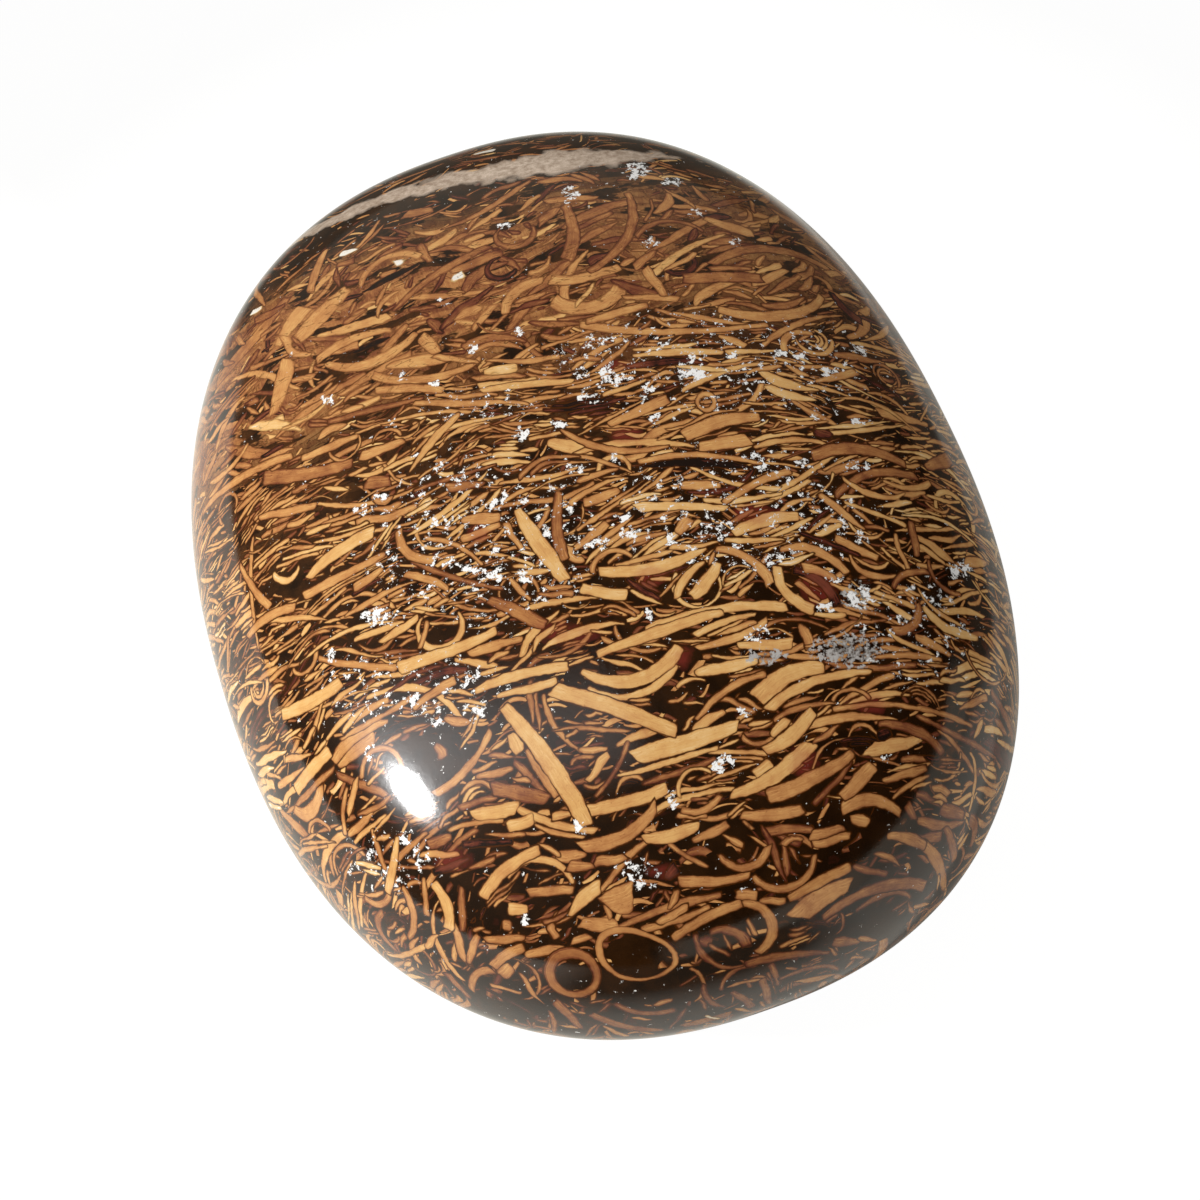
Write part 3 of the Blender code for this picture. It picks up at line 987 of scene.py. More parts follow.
glitter = boxes_share(PAINTED_GLITTER_BOXES, edge=0.35) + hidden_share(seed=32, size=6.0, level=0.2)
glints = np.maximum(
    boxes_share(PAINTED_GLINT_BOXES, edge=0.35), hidden_share(seed=34, size=2.5, level=0.85)
)
shares = np.column_stack([
    np.maximum(boxes_share(QUARTZ_BOXES), hidden_share(seed=31, size=5.0, level=0.90)),
    np.maximum(glints, GLITTER_SHARE * glitter),
    np.maximum(boxes_share(RED_BOXES), hidden_share(seed=33, size=5.0, level=0.65)),
    boxes_share(BARE_BOXES, edge=0.3),
])
print("share of the skin with quartz, glints, red, bare:", np.round(shares.mean(0), 3))

# %% [markdown]
# ## The mesh
# The points become one closed mesh, in metres. The rulers go on the corners of its faces, one
# colour attribute for each sheet: side distance, half width and past-the-end distance, and the
# sliver's tone as alpha. The four shares go on its points.

# %% Build the piece
stone_mesh = bpy.data.meshes.new("polished_palm_stone")
stone_mesh.from_pydata((skin * MM).tolist(), [], quads.tolist())
stone_mesh.shade_smooth()
for sheet in range(SHEETS):
    attribute = stone_mesh.attributes.new(f"sheet_{sheet}", "FLOAT_COLOR", "CORNER")
    attribute.data.foreach_set("color", rulers[sheet].ravel())
attribute = stone_mesh.attributes.new("shares", "FLOAT_COLOR", "POINT")
attribute.data.foreach_set("color", shares.astype(np.float32).ravel())
stone = bpy.data.objects.new("polished_palm_stone", stone_mesh)
bpy.context.scene.collection.objects.link(stone)
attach(stone, "root")
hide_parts("palm_stone")
print("faces:", len(stone_mesh.polygons))

# %% [markdown]
# ## Small helpers for node trees
# A node tree is a list of small steps. These helpers add one step each, and join a socket or put
# in a number, so that the cells below read like the sums that they stand for.

# %% Node helpers
class Steps:
    """Adds nodes to one tree. Inputs may be sockets or plain values."""

    def __init__(self, tree):
        self.tree = tree

    def add(self, kind, inputs=(), **settings):
        """A node of that kind, with its settings, and its inputs joined or set by place or name."""
        node = self.tree.nodes.new(kind)
        for name, value in settings.items():
            setattr(node, name, value)
        pairs = inputs.items() if isinstance(inputs, dict) else enumerate(inputs)
        for name, value in pairs:
            self.put(node.inputs[name], value)
        return node

    def put(self, socket, value):
        """Joins a socket to an output, or gives it a plain value."""
        if isinstance(value, bpy.types.NodeSocket):
            self.tree.links.new(value, socket)
        elif value is not None:
            socket.default_value = value

    def math(self, operation, *values, clamp=False):
        """One sum of plain numbers, kept from 0 to 1 if clamp is true."""
        return self.add("ShaderNodeMath", values, operation=operation, use_clamp=clamp).outputs[0]

    def plus(self, first, second, clamp=False):
        """The first number and the second together."""
        return self.math("ADD", first, second, clamp=clamp)

    def minus(self, first, second):
        """The first number less the second."""
        return self.math("SUBTRACT", first, second)

    def times(self, first, second):
        """The first number by the second."""
        return self.math("MULTIPLY", first, second)

    def times_plus(self, first, second, third):
        """The first number by the second, and the third on top."""
        return self.math("MULTIPLY_ADD", first, second, third)

    def apart(self, first, second):
        """How far apart two numbers are, whichever is larger."""
        return self.math("ABSOLUTE", self.minus(first, second))

    def vector(self, operation, *values):
        """One sum of vectors. The length and the dot product come out as a number."""
        node = self.add("ShaderNodeVectorMath", values, operation=operation)
        return node.outputs["Value" if operation in ("LENGTH", "DOT_PRODUCT") else "Vector"]

    def join(self, x, y, z):
        """A vector from its three parts."""
        return self.add("ShaderNodeCombineXYZ", [x, y, z]).outputs[0]

    def split(self, vector):
        """The three parts of a vector."""
        return self.add("ShaderNodeSeparateXYZ", [vector]).outputs

    def ramp(self, value, low, high, to_low=0.0, to_high=1.0):
        """A straight change from one number to another between low and high, flat outside them."""
        names = {"Value": value, "From Min": low, "From Max": high, "To Min": to_low, "To Max": to_high}
        return self.add("ShaderNodeMapRange", names).outputs[0]

    def noise(self, vector, scale, detail=2.0, roughness=0.5):
        """Smooth noise, as a number and as a colour."""
        values = {"Vector": vector, "Scale": scale, "Detail": detail, "Roughness": roughness}
        return self.add("ShaderNodeTexNoise", values).outputs

    def mix(self, share, under, over, kind="FLOAT"):
        """Between two numbers, vectors or colours."""
        node = self.add("ShaderNodeMix", data_type=kind)
        first = {"FLOAT": 2, "VECTOR": 4, "RGBA": 6}[kind]
        for number, value in ((0, share), (first, under), (first + 1, over)):
            self.put(node.inputs[number], value)
        return node.outputs[{"FLOAT": 0, "VECTOR": 1, "RGBA": 2}[kind]]

    def palette(self, value, stops):
        """Colours strung along a number from 0 to 1."""
        node = self.add("ShaderNodeValToRGB", [value])
        for _ in stops[2:]:
            node.color_ramp.elements.new(0.5)
        for element, (position, rgb) in zip(node.color_ramp.elements, stops):
            element.position = position
            element.color = (*rgb, 1.0)
        return node.outputs[0]


print("helpers:", [name for name in vars(Steps) if not name.startswith("_")])

# %% [markdown]
# ## Layers as node groups
# Every layer of marks takes what lies under it and lays its own marks on top. What is passed on
# is always the same four things: how much fossil there is, how much dark line, the tone, and the
# place in the mark's own coordinates, from which the grain is made.

# %% Group helpers
NUMBER, VECTOR = "NodeSocketFloat", "NodeSocketVector"
PASSED_ON = {"Fill": NUMBER, "Line": NUMBER, "Tone": NUMBER, "Local": VECTOR}


def layer_group(name, own_inputs):
    """A node group for one layer: the layer's own inputs, what lies under it, and its result."""
    tree = bpy.data.node_groups.new(name, "ShaderNodeTree")
    under = {f"Under {label}": kind for label, kind in PASSED_ON.items()}
    for label, kind in {**own_inputs, **under}.items():
        tree.interface.new_socket(label, in_out="INPUT", socket_type=kind)
    for label, kind in PASSED_ON.items():
        tree.interface.new_socket(label, in_out="OUTPUT", socket_type=kind)
    given = tree.nodes.new("NodeGroupInput").outputs
    result = tree.nodes.new("NodeGroupOutput").inputs
    return Steps(tree), given, result


def lay_over(steps, given, result, body, rim, tone, local):
    """Lays marks over what is under them.

    Body is 1 inside a mark and rim is 1 out to the far edge of its dark line. Where rim is 0, what
    lies under stays.
    """
    bare = steps.minus(1.0, rim)
    line = steps.minus(rim, body)
    steps.put(result["Fill"], steps.times_plus(given["Under Fill"], bare, body))
    steps.put(result["Line"], steps.times_plus(given["Under Line"], bare, line))
    steps.put(result["Tone"], steps.mix(rim, given["Under Tone"], tone))
    steps.put(result["Local"], steps.mix(rim, given["Under Local"], local, "VECTOR"))


print("passed on:", list(PASSED_ON))

# %% [markdown]
# ## One sheet of slivers as a node group
# A place is inside a sliver if it is nearer to the middle line than the half width, and not past
# an end. Round each sliver runs a thin dark skin, where iron gathered at the edge of the shell.
# The skin's width comes in as a number that changes over the stone, so that no line is as even as
# a pen's. A smooth maximum of the two lengths rounds the corners off, and the edge is soft over a
# few hundredths of a millimetre.

# %% The sheet group
SOFT_EDGE = 0.035
ROUND_ENDS = 0.22

steps, given, result = layer_group(
    "fossil_sheet", {"Ruler": VECTOR, "Own Tone": NUMBER, "Wobble": VECTOR, "Skin": NUMBER}
)
side, half, past = steps.split(given["Ruler"])
shift, swell, shorten = steps.split(given["Wobble"])
side = steps.plus(side, shift)
over_side = steps.minus(steps.math("ABSOLUTE", side), steps.plus(half, swell))
over_end = steps.plus(past, shorten)
outside = steps.math("SMOOTH_MAX", over_side, over_end, ROUND_ENDS)
body = steps.ramp(outside, SOFT_EDGE, -SOFT_EDGE)
rim = steps.ramp(steps.minus(outside, given["Skin"]), SOFT_EDGE, -SOFT_EDGE)
local = steps.join(side, past, outside)
lay_over(steps, given, result, body, rim, given["Own Tone"], local)
fossil_sheet = steps.tree
print(fossil_sheet.name, "nodes:", len(fossil_sheet.nodes))

# %% [markdown]
# ## The small slivers as a node group
# Between the large slivers lie splinters too small and too many for a mesh. A Voronoi texture
# deals each a cell of its own. The cell's centre and its random colour give the splinter's place,
# tilt, curl, size and tone. The cells are stretched along the beds, so the splinters lie in them.
# A splinter is a thin blade: its height over a tilted and curled floor is less than its half
# width, and its distance from the cell's centre is less than its size.

# %% The splinter group
TILT_SPREAD, CURL_SPREAD, TONE_SPREAD = 1.5, 1.3, 0.5
LEAST_SIZE, SIZE_SPREAD = 0.12, 0.45
LEAST_WIDTH, WIDTH_SPREAD = 0.35, 1.3
FULL_MIDDLE, THINNER_AT_ENDS = 1.25, 0.6
SPLINTER_ENDS, SPLINTER_EDGE = 0.05, 0.020
SPLINTER_SKIN = (0.065, 0.025)
SHUFFLE = 7.13

steps, given, result = layer_group("splinters", {
    "Bedded": VECTOR, "Cell": VECTOR, "Half Width": NUMBER, "Share": NUMBER, "Own Tone": NUMBER,
})
scaled = steps.vector("DIVIDE", given["Bedded"], given["Cell"])
cells = steps.add("ShaderNodeTexVoronoi", {"Vector": scaled, "Scale": 1.0}, feature="F1").outputs
offset = steps.vector("SUBTRACT", scaled, cells["Position"])
x, y, z = steps.split(steps.vector("MULTIPLY", offset, given["Cell"]))
chance = steps.add("ShaderNodeSeparateColor", [cells["Color"]]).outputs
more_chance = steps.add("ShaderNodeTexWhiteNoise", {"Vector": cells["Position"]}).outputs["Color"]
again = steps.add("ShaderNodeSeparateColor", [more_chance]).outputs
long_x, _, long_z = steps.split(given["Cell"])

tilt = steps.times(steps.minus(chance[0], 0.5), TILT_SPREAD)
lean = steps.times(steps.minus(chance[1], 0.5), TILT_SPREAD)
curl = steps.times(steps.minus(again[0], 0.5), CURL_SPREAD)
across = steps.times_plus(x, tilt, y)
across = steps.times_plus(z, lean, across)
across = steps.times_plus(steps.times(x, x), curl, across)
share_x = steps.math("DIVIDE", x, long_x)
share_z = steps.math("DIVIDE", z, long_z)
radius = steps.vector("LENGTH", steps.join(share_x, share_z, 0.0))
size_here = steps.times_plus(again[1], SIZE_SPREAD, LEAST_SIZE)
past = steps.times(steps.minus(radius, size_here), long_x)
narrowing = steps.times_plus(steps.math("DIVIDE", radius, size_here), -THINNER_AT_ENDS, FULL_MIDDLE)
half_here = steps.times(given["Half Width"], steps.times_plus(again[2], WIDTH_SPREAD, LEAST_WIDTH))
half_here = steps.times(half_here, narrowing)
over_side = steps.minus(steps.math("ABSOLUTE", across), half_here)
outside = steps.math("SMOOTH_MAX", over_side, past, SPLINTER_ENDS)
shuffled = steps.math("FRACT", steps.times(chance[0], SHUFFLE))
chosen = steps.math("LESS_THAN", shuffled, given["Share"])
body = steps.times(steps.ramp(outside, SPLINTER_EDGE, -SPLINTER_EDGE), chosen)
rim = steps.times(steps.ramp(outside, *SPLINTER_SKIN), chosen)
own_tone = steps.times_plus(steps.minus(chance[2], 0.5), TONE_SPREAD, given["Own Tone"])
local = steps.join(across, x, outside)
lay_over(steps, given, result, body, rim, own_tone, local)
splinters = steps.tree
print(splinters.name, "nodes:", len(splinters.nodes))

# %% [markdown]
# ## The stone's material: coordinates
# The material works in millimetres. Besides the plain place it uses a bedded place, whose second
# number is the height in the beds, bent a little by a slow swirl, so that beds look settled and
# not ruled. A colour ramp turns the bed height into three numbers that say what the bed is like:
# how far its slivers are merged, how full of splinters it is, and how brown. It is less merged on
# the right.

# %% Coordinates and zones
SWIRLS_PER_MM, SWIRL_REACH = 0.14, (1.0, 5.0, 1.0)
MIDDLE_GREY = (0.5, 0.5, 0.5)
MERGED_ON_THE_RIGHT = 0.6

material = bpy.data.materials.new("polished_fossil_stone")
material.use_nodes = True
material.node_tree.nodes.clear()
steps = Steps(material.node_tree)
object_place = steps.add("ShaderNodeTexCoord").outputs["Object"]
in_mm = steps.vector("SCALE", object_place)
steps.put(in_mm.node.inputs["Scale"], 1 / MM)

swirl = steps.vector("SUBTRACT", steps.noise(in_mm, SWIRLS_PER_MM, 1.0)["Color"], MIDDLE_GREY)
swirl = steps.vector("MULTIPLY", swirl, SWIRL_REACH)
along_normal = steps.vector("DOT_PRODUCT", in_mm, tuple(BED_NORMAL))
bed_here = steps.minus(along_normal, stone_middle @ BED_NORMAL)
x, _, z = steps.split(in_mm)
bedded = steps.vector("ADD", steps.join(x, bed_here, z), swirl)
warped_bed = steps.split(bedded)[1]

MERGED = (0.0, 0.0, 0.0, 0.0, 0.0, 0.10, 0.95, 0.9, 0.0, 0.0)
SPLINTERED = (0.35, 0.55, 0.70, 0.80, 1.0, 0.9, 0.35, 0.25, 0.5, 0.4)
BROWNED = (0.25, 0.10, 0.05, 0.15, 0.30, 0.45, 0.9, 0.8, 0.3, 0.2)
reach_of_beds = BED_PLACES[-1] - BED_PLACES[0]
stops = [
    ((bed - BED_PLACES[0]) / reach_of_beds, traits)
    for bed, *traits in zip(BED_PLACES, MERGED, SPLINTERED, BROWNED)
]
zone = steps.palette(steps.ramp(warped_bed, BED_PLACES[0], BED_PLACES[-1]), stops)
merged, splintered, browned = steps.add("ShaderNodeSeparateColor", [zone]).outputs[:3]
merged = steps.times(merged, steps.ramp(x, 0.0, 14.0, 1.0, MERGED_ON_THE_RIGHT))


def named(attribute):
    """The outputs of one attribute of the mesh."""
    node = steps.add("ShaderNodeAttribute", attribute_name=attribute, attribute_type="GEOMETRY")
    return node.outputs


shares_here = named("shares")
quartz_here, painted_glint_here, red_here = steps.split(shares_here["Vector"])
bare_here = shares_here["Alpha"]
print("zones:", len(stops))

# %% [markdown]
# ## Merged beds
# Two thirds of the way along, the fossil matter ran together into orange-brown masses with only
# thin dark seams between them. A slow noise says where the masses are. A finer one, stretched
# along the beds, gives the seams: they run where it passes its middle value, as a shore line
# runs where land passes the height of the sea. Where it passes another value, thin scratches run
# over the slivers too.

# %% The ground under all marks
MASS_CELL, MASS_SHORE = (3.4, 1.3, 2.8), (0.450, 0.485)
SEAM_CELL, SEAM_LEVEL, SEAM_SHORE = (2.2, 0.55, 1.8), 0.50, (0.024, 0.010)
SCRATCH_LEVEL, SCRATCH_SHORE = 0.44, (0.014, 0.004)
CHUNK_TONES = (0.46, 0.60)
FLAT_PLACE = (1.0, 1.0, 0.0)

patchy = steps.noise(steps.vector("DIVIDE", bedded, MASS_CELL), 1.0, 3.0, 0.6)["Fac"]
mass = steps.times(merged, steps.ramp(patchy, *MASS_SHORE))
seam_noise = steps.noise(steps.vector("DIVIDE", bedded, SEAM_CELL), 1.0, 2.0, 0.6)["Fac"]
seam = steps.ramp(steps.apart(seam_noise, SEAM_LEVEL), *SEAM_SHORE)
scratch = steps.ramp(steps.apart(seam_noise, SCRATCH_LEVEL), *SCRATCH_SHORE)
scratch = steps.times(merged, scratch)

layers = {
    "Fill": steps.times(mass, steps.minus(1.0, seam)),
    "Line": steps.times(mass, seam),
    "Tone": steps.ramp(seam_noise, 0.35, 0.65, *CHUNK_TONES),
    "Local": steps.vector("MULTIPLY", in_mm, FLAT_PLACE),
}
print("seam cells, mm:", SEAM_CELL)

# %% [markdown]
# ## Splinters, then the sheets
# Three kinds of splinter are laid first, from small to large, and then the seven sheets of
# slivers, the topmost last. A wobble of noise shifts each sliver's sides and ends a little, which
# gives the broken edge of a real shell. No splinter is laid where the stone is bare.

# %% Lay the layers
BROWNER_TONE = 0.04
WOBBLE_MM = (0.20, 0.22, 0.5)
SKIN_WIDTHS = (0.015, 0.080)
SPLINTERS = (
    {"cell": (1.4, 0.38, 1.1), "half": 0.085, "share": 0.95, "tone": 0.42, "shift": (0.0, 0.0, 0.0)},
    {"cell": (2.3, 0.50, 1.9), "half": 0.105, "share": 0.95, "tone": 0.52, "shift": (2.9, 8.3, 4.7)},
    {"cell": (3.2, 0.80, 2.6), "half": 0.130, "share": 0.85, "tone": 0.58, "shift": (7.1, 3.9, 1.3)},
)


def lay(node_group, values):
    """Adds one layer on top of the layers so far."""
    layer = steps.add("ShaderNodeGroup", node_tree=node_group)
    below = {f"Under {name}": socket for name, socket in layers.items()}
    for name, value in {**values, **below}.items():
        steps.put(layer.inputs[name], value)
    layers.update({name: layer.outputs[name] for name in PASSED_ON})


few = steps.times(splintered, steps.minus(1.0, bare_here))
tone_shift = steps.times(browned, BROWNER_TONE)
for kind in SPLINTERS:
    lay(splinters, {
        "Bedded": steps.vector("ADD", bedded, kind["shift"]),
        "Cell": kind["cell"],
        "Half Width": kind["half"],
        "Share": steps.times(few, kind["share"]),
        "Own Tone": steps.plus(tone_shift, kind["tone"]),
    })

fine_noise = steps.noise(in_mm, 1.0, 2.0, 0.5)["Color"]
centred = steps.vector("SUBTRACT", fine_noise, MIDDLE_GREY)
wobble = steps.vector("MULTIPLY", centred, WOBBLE_MM)
skin_width = steps.ramp(patchy, 0.35, 0.65, *SKIN_WIDTHS)
for sheet in reversed(range(SHEETS)):
    ruler = named(f"sheet_{sheet}")
    lay(fossil_sheet, {
        "Ruler": ruler["Vector"],
        "Own Tone": ruler["Alpha"],
        "Wobble": wobble,
        "Skin": skin_width,
    })
print("layers laid:", len(SPLINTERS) + SHEETS)

# %% [markdown]
# ## Colour of the fossil matter
# A ramp of tones turns the one number into a colour, from black through iron red, brown and ochre
# to gold and white. Blotches, streaks and fine splits along each sliver and a darker edge move the
# number a little before it is looked up, so no sliver is one flat colour. Towards the near end the
# colours are a little deeper, partly the near beds' own colour and partly painted shade on the
# near flank. In the merged beds they are a little deeper too.

# %% Tones into colours
TONE_COLOURS = (
    (0.00, (0.012, 0.006, 0.004)),
    (0.14, (0.120, 0.026, 0.014)),
    (0.28, (0.225, 0.075, 0.027)),
    (0.40, (0.375, 0.150, 0.048)),
    (0.54, (0.530, 0.250, 0.082)),
    (0.70, (0.660, 0.375, 0.130)),
    (0.84, (0.730, 0.475, 0.210)),
    (0.95, (0.800, 0.760, 0.680)),
)
BLOTCH_MOVE, STREAK_MOVE, SPLIT_MOVE = 0.09, 0.08, -0.20
EDGE_MOVE, NEAR_END_COLOUR_AND_SHADE, MERGED_MOVE = -0.14, -0.07, -0.02
STREAKS_PER_MM = (7.0, 0.9, 0.0)
SPLIT_LEVEL = 0.56

blotch = steps.noise(in_mm, 0.8, 3.0, 0.6)["Fac"]
streak_place = steps.vector("MULTIPLY", layers["Local"], STREAKS_PER_MM)
streak = steps.noise(streak_place, 1.0, 2.0)["Fac"]
split_away = steps.apart(streak, SPLIT_LEVEL)
inward = steps.split(layers["Local"])[2]
tone = steps.plus(layers["Tone"], steps.ramp(blotch, 0.3, 0.7, -BLOTCH_MOVE, BLOTCH_MOVE))
tone = steps.plus(tone, steps.ramp(streak, 0.3, 0.7, -STREAK_MOVE, STREAK_MOVE))
tone = steps.plus(tone, steps.ramp(split_away, 0.0, 0.016, SPLIT_MOVE, 0.0))
tone = steps.plus(tone, steps.ramp(inward, -0.01, -0.14, EDGE_MOVE, 0.0))
# Painted shade on the near flank, with the near beds' own deeper colour: the tone falls towards the near
# end.
tone = steps.plus(tone, steps.ramp(bed_here, -26.0, -12.0, NEAR_END_COLOUR_AND_SHADE, 0.0))
tone = steps.times_plus(merged, MERGED_MOVE, tone)
tone = steps.math("MAXIMUM", tone, 0.0)
fossil = steps.palette(tone, TONE_COLOURS)
print("tones:", len(TONE_COLOURS))

# %% [markdown]
# ## Colour of the dark stone
# The mud turned to a brown-black stone with maroon clouds, and iron stains it red in places. A
# stain reddens the slivers too, but less. One rough noise serves three times: as the grain of the
# quartz and its broken edge, as the grain of the vein, and with its peaks as painted glints.

# %% The dark stone and its stains
MATRIX_DARK, MATRIX_BROWN = (0.012, 0.0045, 0.0012), (0.060, 0.020, 0.004)
MATRIX_RED, LINE_COLOUR = (0.150, 0.020, 0.012), (0.060, 0.015, 0.0012)
FOSSIL_RED = (0.340, 0.085, 0.045)
LEAST_BROWN, MOST_RED, RED_ON_FOSSIL = 0.12, 0.8, 0.45
GRAINS_PER_MM = 2.2


def tint(share, under, over):
    """Between two colours, either of which may be a plain one."""
    under, over = ((*value, 1.0) if isinstance(value, tuple) else value for value in (under, over))
    return steps.mix(share, under, over, "RGBA")


mud = steps.noise(in_mm, 0.55, 3.0, 0.6)["Fac"]
brown_limit = steps.plus(LEAST_BROWN, browned, clamp=True)
brown_share = steps.times(steps.ramp(mud, 0.40, 0.62), brown_limit)
matrix = tint(brown_share, MATRIX_DARK, MATRIX_BROWN)
grain = steps.noise(in_mm, GRAINS_PER_MM, 4.0, 0.75)["Fac"]
red_edge = steps.plus(red_here, steps.ramp(mud, 0.3, 0.7, 0.35, -0.35))
red = steps.ramp(red_edge, 0.30, 0.75, 0.0, MOST_RED)
matrix = tint(red, matrix, MATRIX_RED)
fossil = tint(steps.times(red, RED_ON_FOSSIL), fossil, FOSSIL_RED)
print("grains in a mm:", GRAINS_PER_MM)

# %% [markdown]
# ## Quartz and painted glints
# Quartz filled the last gaps, so it lies over fossil and mud alike, as grey grainy patches. The
# stone also glitters where tiny crystal faces in pits catch the light, most of all in a band
# across the middle. These glints are painted highlights: grey and white flecks painted into the
# colour. Glitter has ragged shapes, so only the peaks of the rough noise show, grey at their foot
# and white at their top. Where glints are thick the level to reach is lower, and over a sliver it
# is higher.

# %% Masks of quartz and painted glints
QUARTZ_DARK, QUARTZ_PALE = (0.085, 0.068, 0.055), (0.430, 0.400, 0.370)
# Colours of the painted glints, painted highlights that are grey at their foot and white at their top.
PAINTED_GLINT_GREY, PAINTED_GLINT_WHITE = (0.430, 0.420, 0.390), (0.880, 0.860, 0.830)
FRAY = 0.7
CLUSTERED = 0.4
LEVEL_OF_NONE, LEVEL_OF_MOST, LEVEL_ON_FOSSIL = 0.66, 0.42, 0.045

quartz_edge = steps.plus(quartz_here, steps.ramp(grain, 0.40, 0.60, -FRAY, FRAY))
quartz = steps.times(steps.ramp(quartz_edge, 0.35, 0.60), steps.ramp(quartz_here, 0.02, 0.15))
quartz_colour = tint(steps.ramp(grain, 0.45, 0.57), QUARTZ_DARK, QUARTZ_PALE)
cluster = steps.ramp(blotch, 0.42, 0.62)
thickness = steps.times(painted_glint_here, steps.times_plus(cluster, CLUSTERED, 1 - CLUSTERED))
level = steps.ramp(thickness, 0.0, 1.0, LEVEL_OF_NONE, LEVEL_OF_MOST)
level = steps.times_plus(layers["Fill"], LEVEL_ON_FOSSIL, level)
above = steps.minus(grain, level)
# Painted highlights: where the grain passes the level, glint flecks are painted into the colour.
painted_glint = steps.ramp(above, 0.0, 0.025)
painted_glint_colour = tint(steps.ramp(above, 0.010, 0.055), PAINTED_GLINT_GREY, PAINTED_GLINT_WHITE)
print("glints start where the grain is over", LEVEL_OF_MOST)

# %% [markdown]
# ## All colours together
# In the merged beds the dark skins round the slivers fade in patches, and the fossil matter on
# both sides runs together there. What is left of the skins is laid over the fossil, with the thin
# scratches. The quartz and the painted glints come last.

# %% Fossil over dark stone, skins, painted glints
MOST_FADED, SCRATCH_STRENGTH = 0.85, 0.75

fade =steps.times(merged, steps.ramp(patchy, 0.42, 0.56, 0.0, MOST_FADED))
faded = steps.times(layers["Line"], fade)
fill = steps.plus(layers["Fill"], faded, clamp=True)
line = steps.minus(layers["Line"], faded)
line = steps.math("MAXIMUM", line, steps.times(scratch, SCRATCH_STRENGTH))
colour = tint(fill, matrix, fossil)
colour = tint(line, colour, LINE_COLOUR)
colour = tint(quartz, colour, quartz_colour)
# Painted highlights: the glint flecks are painted over the fossil, the skins and the quartz.
colour = tint(painted_glint, colour, painted_glint_colour)
print("skins fade by up to", MOST_FADED)

# %% [markdown]
# ## Colour of the vein
# The vein is pinkish grey quartz with a sugary grain and an edge that frays into the dark stone.
# Its half thickness over x is a ramp, whose grey is the number of millimetres.

# %% The vein over everything
VEIN_DARK, VEIN_PALE = (0.330, 0.235, 0.165), (0.640, 0.505, 0.390)
VEIN_FRAY = 0.55

vein_centre = steps.times_plus(x, -VEIN_FALL, VEIN_BED)
vein_away = steps.apart(bed_here, vein_centre)
lowest_x, highest_x = VEIN_PLACES[0], VEIN_PLACES[-1]
vein_stops = [
    ((place - lowest_x) / (highest_x - lowest_x), (half,) * 3)
    for place, half in zip(VEIN_PLACES, VEIN_HALVES)
]
vein_half = steps.palette(steps.ramp(x, lowest_x, highest_x), vein_stops)
vein_outside = steps.minus(vein_away, vein_half)
vein_outside = steps.plus(vein_outside, steps.ramp(mud, 0.3, 0.7, -VEIN_FRAY, VEIN_FRAY))
vein = steps.ramp(vein_outside, 0.10, -0.30)
vein_colour = tint(steps.ramp(grain, 0.35, 0.65), VEIN_DARK, VEIN_PALE)
colour = tint(vein, colour, vein_colour)
print("vein stops:", len(vein_stops))

# %% [markdown]
# ## Polish
# The stone is polished to a gloss, so its shader is smooth, with the index of quartz. Quartz
# grains and glints stand a little rough, and the whole skin has a ripple of a few thousandths of
# a millimetre, which breaks up the edge of a reflected window.

# %% The shader
POLISH, QUARTZ_ROUGHNESS, QUARTZ_INDEX = 0.115, 0.30, 1.54
RIPPLE_MM, RIPPLES_PER_MM = 0.004, 2.2

rough = steps.math("MAXIMUM", quartz, painted_glint)
roughness = steps.ramp(rough, 0.0, 1.0, POLISH, QUARTZ_ROUGHNESS)
ripple = steps.times(steps.noise(in_mm, RIPPLES_PER_MM, 2.0, 0.65)["Fac"], RIPPLE_MM)
bump = steps.add("ShaderNodeBump", {"Strength": 1.0, "Distance": MM, "Height": ripple})
shader = steps.add("ShaderNodeBsdfPrincipled", {
    "Base Color": colour, "Roughness": roughness, "IOR": QUARTZ_INDEX, "Normal": bump.outputs["Normal"],
})
steps.add("ShaderNodeOutputMaterial", [shader.outputs[0]])
stone_mesh.materials.append(material)
print("nodes in the material:", len(material.node_tree.nodes))

# %% [markdown]
# ## The floor
# The photograph's ground is plain white. A real white floor would grey in the stone's shadow, so
# towards the camera this one glows a little and keeps only a faint shadow. Everything else, such
# as the stone's own reflections, sees the plain lit floor, shadow and all. The pale paper is a
# sheet that reaches far on the left and towards the near right, and beyond it the table is dark.
# That shows in the stone's rim, which is pale all round but dark just inside on the right.

# %% A pale floor
FLOOR_HALF = 0.6
FLOOR_PALE, FLOOR_DARK = (0.88, 0.86, 0.77, 1.0), (0.12, 0.11, 0.09, 1.0)
PAPER_EDGE, LEFT_EDGE = (0.042, 0.062), (-0.62, -0.45)
NEAR_RIGHT_WAY, NEAR_RIGHT_EDGE = (0.707, -0.707, 0.0), (0.90, 0.80)
WHITE_GLOW, CAMERA_GLOW = 1.08, 0.90

